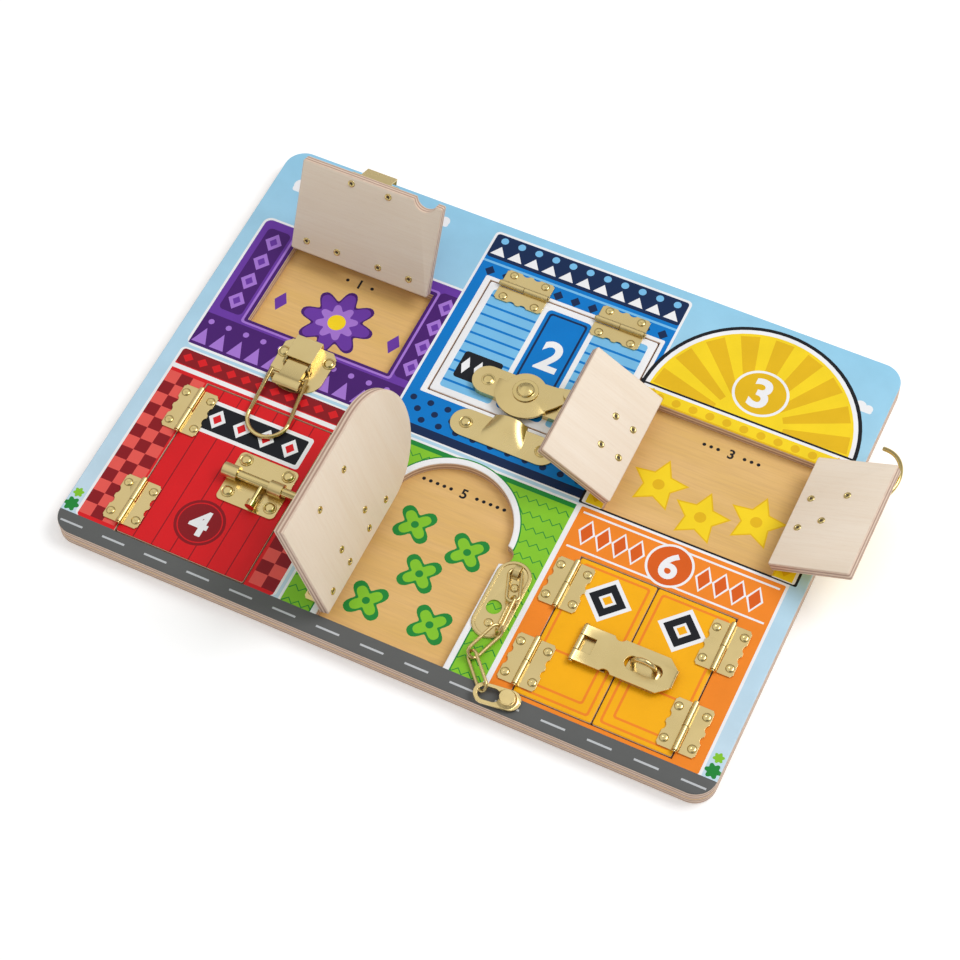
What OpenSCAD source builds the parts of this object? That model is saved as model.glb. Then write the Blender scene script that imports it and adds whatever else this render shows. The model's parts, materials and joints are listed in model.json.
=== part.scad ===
// Wooden busy board: plywood tray with eight small doors, each closed by its own brass fastener.
// All sizes are in millimetres. X runs along the long side, Y towards the top edge, Z up from the underside.

/* [Board] */
// Length of the board along X
board_l = 394; // [300:1:500]
// Width of the board along Y
board_w = 292; // [220:1:380]
// Gap under a closed door; the printed face sheet is a door and this gap thick
door_under = 0.5; // [0.2:0.1:2]
// Thickness of the backing sheet under the wells
back_t = 5.5; // [3:0.1:8]
// Radius of the four board corners
corner_r = 12.5; // [4:0.5:25]
// Thickness of each door panel
door_t = 6; // [4:0.1:8]
// Gap between a door and its opening
gap = 0.75; // [0.5:0.05:1.5]

/* [Rest angles] */
// Opening angle of flap 1 as stored
open_1 = 116; // [0:1:150]
// Opening angle of the left door of pair 3 as stored
open_3l = 146; // [0:1:150]
// Opening angle of the right door of pair 3 as stored
open_3r = 154; // [0:1:160]
// Opening angle of arched door 5 as stored
open_5 = 106; // [0:1:150]

/* [Hinges] */
// Length of a hinge along its pin
hinge_l = 30; // [20:0.5:40]
// Width of one hinge leaf from the pin
leaf_w = 11; // [8:0.5:14]
// Thickness of a hinge leaf
leaf_t = 0.9; // [0.6:0.1:1.4]
// Radius of the hinge pin
pin_r = 0.9; // [0.6:0.05:1.2]
// Running clearance around the pin
pin_clear = 0.05; // [0.01:0.01:0.1]
// Wall of the rolled knuckle
knuckle_wall = 0.85; // [0.5:0.05:1.2]

/* [Rivets] */
// Radius of a rivet shank
rivet_r = 1.5; // [1:0.1:2]
// Radius of a rivet head
head_r = 2.5; // [2:0.1:3.5]
// Height of a rivet head
head_h = 1.2; // [0.8:0.1:2]

/* [Fasteners] */
// Radius of the draw latch's wire bail
bail_r = 1.3; // [0.8:0.1:1.8]
// Length of the wire bail from its pivot
bail_l = 43.2; // [35:0.1:50]
// Radius of the slide bolt's rod
bolt_r = 2.7; // [2:0.1:3.4]
// Radius of the hook's wire
hook_r = 1.25; // [0.8:0.05:1.6]
// Length of the hook's straight shaft
hook_l = 21.4; // [16:0.1:26]
// Radius of the sash lock's cam
cam_r = 17.5; // [12:0.5:19]
// Radius of the chain's wire
chain_r = 0.95; // [0.6:0.05:1.2]

/* [Hidden] */

face_t = door_t + door_under;
T = back_t + face_t;
kx = board_l/394;
ky = board_w/292;
fs = 14;
fm = 24;
fl = 72;
e = 0.01;
kr = pin_r + pin_clear + knuckle_wall;
hz = kr + 0.1;
hole_r = rivet_r + 0.1;
sc_y = 10;
sc_x = 8;

// openings: [x0, x1, y0, y1]
w1 = [-162.5*kx, -72*kx, 22*ky, 82.2*ky];
w2 = [-46.5*kx, 61.5*kx, 22*ky, 106.1*ky];
w3 = [76*kx, 176.575*kx, -9*ky, 67*ky];
w4 = [-162.5*kx, -81.5*kx, -134*ky, -27*ky];
w5 = [-36.8*kx, 39.2*kx, -133.5*ky, -53*ky];
w6 = [78.2*kx, 170.5*kx, -131.5*ky, -41*ky];
arch_r = (w5[1]-w5[0])/2;
arch_x = (w5[1]+w5[0])/2;
mid3 = (w3[0]+w3[1])/2;
mid6 = (w6[0]+w6[1])/2;

// hinge lines
hy1 = w1[3]-gap/2;
hy2 = w2[3]-gap/2;
hx3l = w3[0]+gap/2;
hx3r = w3[1]-gap/2;
hx4 = w4[0]+gap/2;
hx5 = w5[0]+gap/2;
hx6l = w6[0]+gap/2;
hx6r = w6[1]-gap/2;
h1 = [-142.4*kx, -95.6*kx];
h2 = [-24.5*kx, 36.5*kx];
h3 = [27.5*ky];
h4 = [-48*ky, -114*ky];
h5 = [-69.6*ky, -112.7*ky];
h6 = [-61*ky, -112.5*ky];

// fastener places
lx = -118.2*kx; ly = 5.4*ky;
sx = 7.1*kx; sy2 = w2[2]+17.8; sy1 = w2[2]-11.8; slx = 23.4; pan_r = 9.3; pan_h = 4;
ex3 = hx3l+20.8; ey3 = 27.4*ky;
qx3 = hx3r-24.2; qy3 = 33*ky; qa = 114.5;
bx = -103.6*kx; by = ly-81.2;
ax = 50.5*kx; ay = -84*ky;
tx = w5[0]+gap+38.4*kx; ty = -90*ky;
px = 99.5*kx; py = -91.2*ky;
stx = 138*kx;

brass = [0.80, 0.72, 0.50];
brass2 = [0.72, 0.63, 0.40];
ply = [0.90, 0.83, 0.74];

// ---- shared shapes ----
module rr(x0, x1, y0, y1, z0, z1, r, fn=24) {
  translate([x0+r, y0, z0]) cube([x1-x0-2*r, y1-y0, z1-z0]);
  translate([x0, y0+r, z0]) cube([x1-x0, y1-y0-2*r, z1-z0]);
  for (x=[x0+r, x1-r], y=[y0+r, y1-r]) translate([x, y, z0]) cylinder(h=z1-z0, r=r, $fn=fn);
}
module bx3(x0, x1, y0, y1, z0, z1) { translate([x0, y0, z0]) cube([x1-x0, y1-y0, z1-z0]); }
module cyl_x(x0, x1, r, fn=24) { translate([x0, 0, 0]) rotate([0, 90, 0]) cylinder(h=x1-x0, r=r, $fn=fn); }
module cyl_y(y0, y1, r, fn=24) { translate([0, y0, 0]) rotate([-90, 0, 0]) cylinder(h=y1-y0, r=r, $fn=fn); }
// stadium plate of length l and width w along X
module stadium(l, w, h, fn=24) {
  bx3(-(l-w)/2, (l-w)/2, -w/2, w/2, 0, h);
  for (s=[-1, 1]) translate([s*(l-w)/2, 0, 0]) cylinder(h=h, r=w/2, $fn=fn);
}

// turns about a hinge line that runs along X (flaps) or Y (doors); s = 1 opens a door hinged on its left
module lift_flap(y, a) { translate([0, y, T+hz]) rotate([-a, 0, 0]) translate([0, -y, -T-hz]) children(); }
module swing(x, a, s=1) { translate([x, 0, T+hz]) rotate([0, -s*a, 0]) translate([-x, 0, -T-hz]) children(); }

// hinge leaf on the +X side of a pin along Y, with its barrel from y0 to y1
module leaf(y0, y1) {
  difference() {
    union() {
      bx3(kr+0.3, leaf_w, -hinge_l/2, hinge_l/2, -hz, -hz+leaf_t);
      bx3(0, kr+0.3+e, y0, y1, -hz, -hz+leaf_t);
      cyl_y(y0, y1, kr, fm);
    }
    cyl_y(y0-1, y1+1, pin_r+pin_clear, fs);
    for (s=[-1, 1]) {
      translate([sc_x, s*sc_y, -hz-1]) cylinder(h=4, r=hole_r, $fn=fs);
      translate([leaf_w+1.7, s*3.5, -hz-1]) cylinder(h=4, r=3, $fn=fm);
      translate([leaf_w+1.2, s*(hinge_l/2+0.6), -hz-1]) cylinder(h=4, r=2.4, $fn=fm);
    }
  }
}
// places a hinge so its pin runs along X (flaps) or Y (doors); the leaf lies on the side sgn points to
module at_flap(x, y) { translate([x, y, T+hz]) rotate([0, 0, 90]) children(); }
module at_door(x, y) { translate([x, y, T+hz]) children(); }
module door_side() { leaf(-hinge_l/2, -0.15); }
module frame_side() { mirror([1, 0, 0]) leaf(0.15, hinge_l/2); }
module pin() {
  cyl_y(-hinge_l/2-0.2, hinge_l/2+e, pin_r, fs);
  cyl_y(hinge_l/2, hinge_l/2+0.8, pin_r+0.5, fs);
  cyl_y(-hinge_l/2-1, -hinge_l/2-0.2, pin_r+0.5, fs);
}
// rivet with its head's seat at z = 0; tail > 0 adds the spread tail at that depth
module rivet(l, tail=0, hr=head_r, hh=head_h) {
  cylinder(h=hh, r1=hr, r2=hr*0.55, $fn=fs);
  translate([0, 0, -l-(tail > 0 ? 0.2 : 0)]) cylinder(h=l+(tail > 0 ? 0.2 : 0)+e, r=rivet_r, $fn=fs);
  if (tail > 0) translate([0, 0, -l-0.5]) cylinder(h=0.48, r=rivet_r+0.7, $fn=fs);
}
module door_rivets(pts, s=0) { for (p=pts) translate([p[0], p[1], T+leaf_t]) rivet(door_t+leaf_t, 1); }
module plate_holes(pts) { for (p=pts) translate([p[0], p[1], T-e]) cylinder(h=12, r=hole_r, $fn=fs); }
module panel_holes(pts) { for (p=pts) translate([p[0], p[1], T-door_t-1]) cylinder(h=door_t+2, r=hole_r, $fn=fs); }

// rivet points of a door's hinges: side 1 = leaf on +X of the pin, -1 = on -X
function pts_door(x, ys, s) = [for (y=ys) for (t=[-1, 1]) [x+s*sc_x, y+t*sc_y]];
function pts_flap(xs, y, s) = [for (x=xs) for (t=[-1, 1]) [x+t*sc_y, y+s*sc_x]];

catch_pts = [[lx-11.8, w1[2]+5.2], [lx+11.8, w1[2]+5.2]];
sash_pts = [[sx-slx, sy2], [sx+slx, sy2]];
keeper_pts = [[sx-slx, sy1], [sx+slx, sy1]];
eye_pts = [[ex3, ey3-10.1], [ex3, ey3+10.1]];
hookp_pts = [for (t=[-1, 1]) [qx3+t*10.1*cos(qa), qy3+t*10.1*sin(qa)]];
bolt_pts = [[bx-13.3, by+11.9], [bx+13.3, by+11.9], [bx-13.3, by-10.2], [bx+13.3, by-10.2]];
bkeep_pts = [[-65.5*kx, by-9.2], [-65.5*kx, by+9.2]];
track_pts = [for (a=[-18.1, 18.1]) for (b=[-13.7, 13.7]) [tx+a, ty+b]];
leaf6_pts = [[px+10.5, py-6], [px+10.5, py+6]];
staple_pts = [[stx-1, py-7.6], [stx-1, py+7.6]];
latch_pts = [[lx-14, ly+4.9], [lx+13.6, ly+7.6]];
anchor_pts = [[ax-0.3, ay-15.8], [ax+3.5, ay+9]];

p1 = concat(pts_flap(h1, hy1, -1), catch_pts);
p2 = pts_flap(h2, hy2, -1);
p3l = concat(pts_door(hx3l, h3, 1), eye_pts);
p3r = concat(pts_door(hx3r, h3, -1), hookp_pts);
p4 = concat(pts_door(hx4, h4, 1), bolt_pts);
p5 = concat(pts_door(hx5, h5, 1), track_pts);
p6l = concat(pts_door(hx6l, h6, 1), leaf6_pts);
p6r = concat(pts_door(hx6r, h6, -1), staple_pts);
pf = concat(pts_flap(h1, hy1, 1), pts_flap(h2, hy2, 1), pts_door(hx3l, h3, -1), pts_door(hx3r, h3, 1),
  pts_door(hx4, h4, -1), pts_door(hx5, h5, -1), pts_door(hx6l, h6, -1), pts_door(hx6r, h6, 1),
  keeper_pts, bkeep_pts, latch_pts, anchor_pts);

// ---- board ----
module backing_board() { color(ply) rr(-board_l/2, board_l/2, -board_w/2, board_w/2, 0, back_t, corner_r, fl); }
module face_board() {
  color([0.62, 0.82, 0.93]) difference() {
    rr(-board_l/2, board_l/2, -board_w/2, board_w/2, back_t, T, corner_r, fl);
    for (w=[w1, w2, w3, w4, w6]) bx3(w[0], w[1], w[2], w[3], back_t-1, T+1);
    bx3(w5[0]+0.03, w5[1]-0.03, w5[2], w5[3]+0.8, back_t-1, T+1);
    translate([arch_x, w5[3], back_t-1]) cylinder(h=face_t+2, r=arch_r, $fn=fl);
    translate([w5[1]-0.5, w5[3]-5, back_t-1]) cylinder(h=face_t+2, r=6, $fn=fm);
    for (p=pf) translate([p[0], p[1], T-4.8]) cylinder(h=6, r=hole_r, $fn=fs);
  }
}
module frame_leaves() {
  color(brass) {
    for (x=h1) at_flap(x, hy1) mirror([1, 0, 0]) frame_side();
    for (x=h2) at_flap(x, hy2) mirror([1, 0, 0]) frame_side();
    for (y=h3) { at_door(hx3l, y) frame_side(); at_door(hx3r, y) mirror([1, 0, 0]) frame_side(); }
    for (y=h4) at_door(hx4, y) frame_side();
    for (y=h6) { at_door(hx6l, y) frame_side(); at_door(hx6r, y) mirror([1, 0, 0]) frame_side(); }
  }
}
module frame_leaves_5() { color(brass) for (y=h5) at_door(hx5, y) frame_side(); }
module hinge_pins() {
  color(brass2) {
    for (x=h1) at_flap(x, hy1) pin();
    for (x=h2) at_flap(x, hy2) pin();
    for (y=h3) { at_door(hx3l, y) pin(); at_door(hx3r, y) pin(); }
    for (y=h4) at_door(hx4, y) pin();
    for (y=h5) at_door(hx5, y) pin();
    for (y=h6) { at_door(hx6l, y) pin(); at_door(hx6r, y) pin(); }
  }
}
module frame_rivets() { color(brass2) for (p=pf) translate([p[0], p[1], T+leaf_t]) rivet(leaf_t+4.6); }

// ---- doors: panels, leaves and rivets ----
module slab(x0, x1, y0, y1) { rr(x0, x1, y0, y1, T-door_t, T, 1.2, 16); }
module flap_1_panel() {
  color(ply) lift_flap(hy1, open_1) difference() {
    slab(w1[0]+gap, w1[1]-gap, w1[2]+gap, w1[3]-gap);
    translate([-84*kx, w1[2]+gap-1.5, T-door_t-1]) cylinder(h=door_t+2, r=7, $fn=fm);
    panel_holes(p1);
  }
}
module flap_2_panel() { color([0.05, 0.55, 0.85]) difference() { slab(w2[0]+gap, w2[1]-gap, w2[2]+gap, w2[3]-gap); panel_holes(concat(p2, sash_pts, [[sx, sy2]])); } }
module door_3l_panel() { color(ply) swing(hx3l, open_3l) difference() { slab(w3[0]+gap, mid3-gap/2, w3[2]+gap, w3[3]-gap); panel_holes(p3l); } }
module door_3r_panel() { color(ply) swing(hx3r, open_3r, -1) difference() { slab(mid3+gap/2, w3[1]-gap, w3[2]+gap, w3[3]-gap); panel_holes(p3r); } }
module door_4_panel() { color([0.85, 0.10, 0.12]) difference() { slab(w4[0]+gap, w4[1]-gap, w4[2]+gap, w4[3]-gap); panel_holes(p4); } }
module door_5_panel() {
  color(ply) swing(hx5, open_5) difference() {
    union() {
      bx3(w5[0]+gap+0.03, w5[1]-gap-0.03, w5[2]+gap, w5[3]+0.8, T-door_t, T);
      translate([arch_x, w5[3], T-door_t]) cylinder(h=door_t, r=arch_r-gap, $fn=fl);
    }
    panel_holes(p5);
  }
}
module door_6l_panel() { color([0.98, 0.72, 0.05]) difference() { slab(w6[0]+gap, mid6-gap/2, w6[2]+gap, w6[3]-gap); panel_holes(p6l); } }
module door_6r_panel() { color([0.98, 0.72, 0.05]) difference() { slab(mid6+gap/2, w6[1]-gap, w6[2]+gap, w6[3]-gap); panel_holes(p6r); } }

module flap_1_leaves() { color(brass) lift_flap(hy1, open_1) for (x=h1) at_flap(x, hy1) mirror([1, 0, 0]) door_side(); }
module flap_2_leaves() { color(brass) for (x=h2) at_flap(x, hy2) mirror([1, 0, 0]) door_side(); }
module door_3l_leaf() { color(brass) swing(hx3l, open_3l) for (y=h3) at_door(hx3l, y) door_side(); }
module door_3r_leaf() { color(brass) swing(hx3r, open_3r, -1) for (y=h3) at_door(hx3r, y) mirror([1, 0, 0]) door_side(); }
module door_4_leaves() { color(brass) for (y=h4) at_door(hx4, y) door_side(); }
module door_5_leaves() { color(brass) swing(hx5, open_5) for (y=h5) at_door(hx5, y) door_side(); }
module door_6l_leaves() { color(brass) for (y=h6) at_door(hx6l, y) door_side(); }
module door_6r_leaves() { color(brass) for (y=h6) at_door(hx6r, y) mirror([1, 0, 0]) door_side(); }

module flap_1_rivets() { color(brass2) lift_flap(hy1, open_1) door_rivets(p1); }
module flap_2_rivets() { color(brass2) door_rivets(p2); }
module door_3l_rivets() { color(brass2) swing(hx3l, open_3l) door_rivets(p3l); }
module door_3r_rivets() { color(brass2) swing(hx3r, open_3r, -1) door_rivets(p3r); }
module door_4_rivets() { color(brass2) door_rivets(p4); }
module door_5_rivets() { color(brass2) swing(hx5, open_5) door_rivets(p5); }
module door_6l_rivets() { color(brass2) door_rivets(p6l); }
module door_6r_rivets() { color(brass2) door_rivets(p6r); }

// ---- draw latch ----
pvy = ly-1.9; pvz = T+3.3;
bly = ly-10.4; blz = T+4;
droop = asin((blz-T-bail_r-0.3)/(bail_l-bail_r));
module latch_base() {
  color(brass) difference() {
    union() {
      translate([lx-0.3, ly-6.4, T]) linear_extrude(leaf_t) polygon(concat([[16.5, 0], [16.5, 18], [13, 21.5], [-13, 21.5], [-16.5, 18]],
        [for (i=[0:20]) [-16.5*cos(i*9), -12*sin(i*9)]]));
      for (x=[lx-9.8, lx+5.6]) bx3(x, x+1, pvy-2.4, ly+15, T+leaf_t-e, T+5.6);
      for (x=[lx-9.8, lx+5.6]) bx3(x, x+1, ly-0.2, ly+15, T+5.5, T+7.2);
      bx3(lx-9.8, lx+6.6, ly-0.2, ly+15, T+6.3, T+7.2);
    }
    translate([0, pvy, pvz]) cyl_x(lx-12, lx+12, 1.05, fs);
    plate_holes(latch_pts);
  }
}
module latch_pin() {
  color(brass2) translate([0, pvy, pvz]) {
    cyl_x(lx-10.2, lx+7, 1, fs);
    cyl_x(lx-10.6, lx-10.2+e, 1.6, fs);
    cyl_x(lx+7-e, lx+7.2, 1.6, fs);
  }
}
module latch_lever() {
  color(brass) translate([lx-1.3, 0, 0]) difference() {
    union() {
      translate([-6.5, 0, 0]) rotate([90, 0, 90]) linear_extrude(13)
        polygon([[pvy, T+5.5], [pvy-9.5, T+5.9], [pvy-12, T+6.6], [pvy-12, T+5.6], [pvy-9.5, T+4.9], [pvy, T+4.5]]);
      translate([-8.2, 0, 0]) rotate([90, 0, 90]) linear_extrude(16.4)
        polygon([[pvy-11.5, T+6.5], [pvy-12.5, T+6.75], [pvy-14.5, T+6.6], [pvy-16, T+5.7], [pvy-16.8, T+4.4], [pvy-16.1, T+4],
          [pvy-15.2, T+4.9], [pvy-14, T+5.5], [pvy-12.5, T+5.7], [pvy-11.5, T+5.5]]);
      for (s=[-1, 1]) translate([s*6-0.5, 0, 0]) rotate([90, 0, 90]) linear_extrude(1)
        polygon([[pvy, T+5.2], [pvy, T+1.6], [pvy-9, T+2.4], [pvy-11.5, T+5.2], [pvy-11.5, T+5.9], [pvy-9, T+5.3]]);
      translate([0, pvy, pvz]) cyl_x(-6.5, 6.5, 2.2, fm);
    }
    translate([0, pvy, pvz]) cyl_x(-9, 9, 1.05, fs);
    translate([0, bly, blz]) cyl_x(-9, 9, 0.95, fs);
  }
}
// the bail leans a little to one side: its legs are not quite parallel
module leg(a, b) { d = b-a; translate([a[0], a[1], 0]) rotate([0, 0, atan2(d[1], d[0])]) cyl_x(0, norm(d), bail_r-0.06, 16); }
module latch_bail() {
  r = 12.35; q = bail_l-bail_r-r;
  color(brass2) translate([lx, bly, blz]) rotate([droop, 0, 0]) {
    leg([-14, 1], [-12.5, -q-0.3]);
    leg([8.2, 1], [12.2, -q-0.3]);
    translate([-0.15, -q, 0]) rotate([0, 0, 180]) rotate_extrude(angle=180, $fn=40) translate([r, 0]) circle(r=bail_r, $fn=16);
    cyl_x(-14, -6.9, 0.9, fs);
    cyl_x(4.3, 8.2, 0.9, fs);
  }
}
module latch_catch() {
  y0 = w1[2]+gap+0.3;
  color(brass) lift_flap(hy1, open_1) difference() {
    union() {
      rr(lx-16, lx+16, y0, y0+9.5, T, T+leaf_t, 2, fm);
      bx3(lx-9.5, lx+9.5, y0, y0+leaf_t, T, T+10.1);
      bx3(lx-9.5, lx+9.5, y0, y0+4, T+9.3, T+10.1+e);
    }
    plate_holes(catch_pts);
  }
}

// ---- sash lock ----
module sash_plate() {
  color(brass) difference() {
    translate([sx, sy2, T]) stadium(2*slx+2*pan_r, 2*pan_r, pan_h, fl);
    translate([sx, sy2, T-e]) stadium(2*slx+2*pan_r-1.8, 2*pan_r-1.8, pan_h-0.9+e, fl);
    plate_holes(concat(sash_pts, [[sx, sy2]]));
  }
}
module sash_rivets() {
  color(brass2) for (p=sash_pts) translate([p[0], p[1], T+pan_h]) rivet(door_t+pan_h, 1, 3.7, 0.8);
}
module sash_pivot() {
  color(brass2) translate([sx, sy2, 0]) {
    translate([0, 0, T-door_t-0.2]) cylinder(h=door_t+7.2, r=rivet_r, $fn=fs);
    translate([0, 0, T-door_t-0.5]) cylinder(h=0.48, r=rivet_r+0.7, $fn=fs);
    translate([0, 0, T+pan_h]) cylinder(h=0.8, r=4, $fn=fs);
    translate([0, 0, T+6.6]) cylinder(h=0.7, r=7.5, $fn=fm);
    translate([0, 0, T+7.2]) cylinder(h=1.1, r1=5.1, r2=4.5, $fn=fm);
    translate([0, 0, T+8.2]) cylinder(h=1, r1=4.4, r2=2.2, $fn=fm);
  }
}
module sash_cam() {
  color(brass) translate([sx, sy2, T+5.1]) difference() {
    union() {
      intersection() {
        union() {
          cylinder(h=0.6, r=cam_r, $fn=fl);
          translate([0, 0, 0.55]) cylinder(h=0.65, r1=cam_r-0.05, r2=cam_r-1.2, $fn=fl);
          difference() {
            translate([0, 0, -0.8]) cylinder(h=1.1, r=cam_r-0.02, $fn=fl);
            translate([0, 0, -1]) cylinder(h=1.5, r=cam_r-1.2, $fn=fl);
          }
        }
        translate([0, 0, -3]) linear_extrude(6) polygon([[0, 0], [-24, 3.4], [-30, -30], [30, -30], [24, -11.2]]);
      }
      cylinder(h=1.2, r=12.2, $fn=fl);
      linear_extrude(1.2) polygon([[2, -9], [cam_r*0.9, -cam_r*0.42], [19.5, -3.4], [22.6, 0.6], [24.6, 1.9], [20, 10], [6, 9]]);
      rotate([0, 0, 16]) { bx3(0, 24, -5, 5, 0, 1.2); translate([24, 0, 0]) cylinder(h=1.2, r=5, $fn=fm); }
      rotate([0, 0, 16]) translate([25, 0, 1.1]) cylinder(h=2.4, r=3.4, $fn=fm);
    }
    translate([0, 0, -5]) cylinder(h=12, r=2.55, $fn=fs);
  }
}
module sash_keeper() {
  color(brass) difference() {
    union() {
      translate([sx, sy1, T]) stadium(2*slx+18, 18, leaf_t, fl);
      intersection() {
        translate([sx-0.2, 21*ky, T+leaf_t-e]) cylinder(h=4.3, r1=16.4, r2=8.8, $fn=fl);
        bx3(sx-20, sx+20, 0, w2[2]-0.6, T, T+6);
      }
    }
    translate([sx-0.2, 21*ky, T-0.6]) cylinder(h=4.9, r1=17, r2=8.4, $fn=fl);
    plate_holes(keeper_pts);
  }
}

// ---- hook and eye ----
module hook_eye() {
  color(brass) swing(hx3l, open_3l) difference() {
    union() {
      translate([ex3, ey3, T]) rotate([0, 0, 90]) stadium(28, 9, leaf_t);
      translate([ex3, ey3, T+leaf_t-0.2]) rotate([90, 0, 0]) rotate_extrude(angle=180, $fn=32) translate([3.4, 0]) circle(r=1.1, $fn=fs);
    }
    plate_holes(eye_pts);
  }
}
module hook_plate() {
  color(brass) swing(hx3r, open_3r, -1) difference() {
    union() {
      translate([qx3, qy3, T]) rotate([0, 0, qa]) stadium(28, 9, leaf_t);
      translate([qx3, qy3, T]) cylinder(h=2.2, r=3, $fn=fs);
      translate([qx3, qy3, T]) cylinder(h=5.5, r=1.4, $fn=fs);
      translate([qx3, qy3, T+5.1]) cylinder(h=0.9, r1=2.8, r2=2.2, $fn=fs);
    }
    plate_holes(hookp_pts);
  }
}
module hook_wire() {
  color(brass2) swing(hx3r, open_3r, -1) translate([qx3, qy3, T+3.6]) {
    rotate_extrude($fn=32) translate([2.95, 0]) circle(r=hook_r, $fn=fs);
    rotate([0, 0, 140.2]) {
      cyl_x(2.9, hook_l, hook_r-0.04, 16);
      translate([hook_l-0.5, -21, 0]) rotate([0, 0, -39]) rotate_extrude(angle=129, $fn=72) translate([21, 0]) circle(r=hook_r+0.05, $fn=20);
    }
  }
}

// ---- slide bolt ----
bz = T+4.9;
module bolt_plate() {
  color(brass) difference() {
    union() {
      rr(bx-18.2, bx+18.2, by-16.6, by+16.6, T, T+leaf_t, 3, fm);
      translate([0, by, bz]) { cyl_x(bx-20.4, bx-11.4, 4.3, fm); cyl_x(bx+8.4, bx+16.6, 4.3, fm); }
    }
    translate([0, by, bz]) cyl_x(bx-22, bx+20, bolt_r+0.05, fm);
    bx3(bx-30, bx+30, by-20, by+20, T-3, T);
    plate_holes(bolt_pts);
  }
}
module bolt_rod() {
  color(brass2) translate([0, by, bz]) {
    cyl_x(bx-19.6, bx+25, bolt_r, fm);
    translate([bx+25-e, 0, 0]) rotate([0, 90, 0]) cylinder(h=1.2, r1=bolt_r, r2=bolt_r-0.9, $fn=fm);
    translate([bx+4, 0, 0]) { rotate([90, 0, 0]) cylinder(h=14, r=1.4, $fn=fs); translate([0, -12.5, 0]) rotate([90, 0, 0]) cylinder(h=3.8, r=2.9, $fn=fm); }
  }
}
module bolt_keeper() {
  kx0 = bx+26.8;
  color(brass) difference() {
    union() {
      rr(kx0, -60.5*kx, by-13, by+13, T, T+leaf_t, 2.5, fm);
      translate([0, by, bz]) cyl_x(kx0, kx0+6.5, 4.7, fm);
    }
    translate([0, by, bz]) cyl_x(kx0-1, kx0+8, 3.3, fm);
    bx3(kx0-1, kx0+20, by-20, by+20, T-3, T);
    plate_holes(bkeep_pts);
  }
}

// ---- door chain ----
cz = [T+2.45, T+5.1, T+5.3, T+4.2, T+3.7];
cp = [[50.5*kx, -66*ky], [57*kx, -83.5*ky], [57.8*kx, -103*ky], [50.8*kx, -122*ky], [65*kx, -137.5*ky]];
tilt = [4, 60, -40, 50];
cw = [3.6, 3.3, 3.5, 3.4];
module link(i) {
  a = cp[i]; b = cp[i+1]; d = b-a; l = norm(d);
  w = cw[i]; ex = 1.5; hl = l/2+ex-w;
  color(brass) translate([(a[0]+b[0])/2, (a[1]+b[1])/2, (cz[i]+cz[i+1])/2]) rotate([0, 0, atan2(d[1], d[0])])
    rotate([0, -atan2(cz[i+1]-cz[i], l), 0]) rotate([tilt[i], 0, 0]) {
      for (s=[-1, 1]) {
        translate([0, s*w, 0]) cyl_x(-hl-e, hl+e, chain_r, 16);
        translate([s*hl, 0, 0]) rotate([0, 0, s > 0 ? -90 : 90]) rotate_extrude(angle=180, $fn=28) translate([w, 0]) circle(r=chain_r, $fn=16);
      }
    }
}
module chain_anchor() {
  color(brass) difference() {
    union() {
      translate([ax, ay, T]) rotate([0, 0, 90]) stadium(50, 20, leaf_t, 40);
      difference() {
        translate([ax, ay, T+leaf_t-e]) rotate([0, 0, 90]) stadium(49.2, 19.2, 0.5, 40);
        translate([ax, ay, T+leaf_t-1]) rotate([0, 0, 90]) stadium(46, 16, 4, 40);
      }
      translate([cp[0][0]-0.9, cp[0][1]+0.75, T+leaf_t-0.1]) rotate([90, 0, 90]) linear_extrude(3.6) difference() {
        polygon([[-5.2, 0], [-4.3, 1.7], [-3.4, 3.2], [-1.6, 4.1], [1, 4.2], [2.4, 3.6], [3.2, 2.2], [3.5, 0]]);
        polygon([[-3.4, -1], [-3.4, 1.5], [-2.7, 2.7], [-1.2, 3.2], [0.8, 3.3], [1.8, 2.9], [2.4, 1.8], [2.5, -1]]);
      }
    }
    plate_holes(anchor_pts);
    translate([ax-1.8, ay-5.9, T-1]) cylinder(h=5, r=4.3, $fn=fs);
  }
}
module chain_slider() {
  color(brass) translate([cp[4][0], cp[4][1], cz[4]]) rotate([0, 0, 9.3]) rotate([0, 6.5, 0]) translate([8.4, -2.6, 0]) difference() {
    union() {
      translate([0, 0, -0.7]) stadium(26, 12, 1.4, fm);
      translate([5.2, 0, 0.6]) cylinder(h=1.6, r1=5.8, r2=4.6, $fn=fm);
      translate([5.2, 0, 2.1]) cylinder(h=1.9, r=4.2, $fn=fm);
    }
    translate([-4.5, 0, -2]) stadium(12.6, 8.2, 5, fm);
  }
}
module chain_track() {
  color(brass) swing(hx5, open_5) difference() {
    union() {
      rr(tx-24, tx+24, ty-18.5, ty+18.5, T, T+leaf_t, 4, fm);
      bx3(tx-21, tx+21, ty-8, ty+8, T+leaf_t-e, T+4.2);
    }
    bx3(tx-19.5, tx+19.5, ty-6.5, ty+6.5, T+leaf_t, T+3.3);
    bx3(tx-16, tx+14, ty-2.3, ty+2.3, T+leaf_t, T+5);
    translate([tx+13, ty, T+leaf_t]) cylinder(h=5, r=5.2, $fn=fm);
    plate_holes(track_pts);
  }
}

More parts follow.
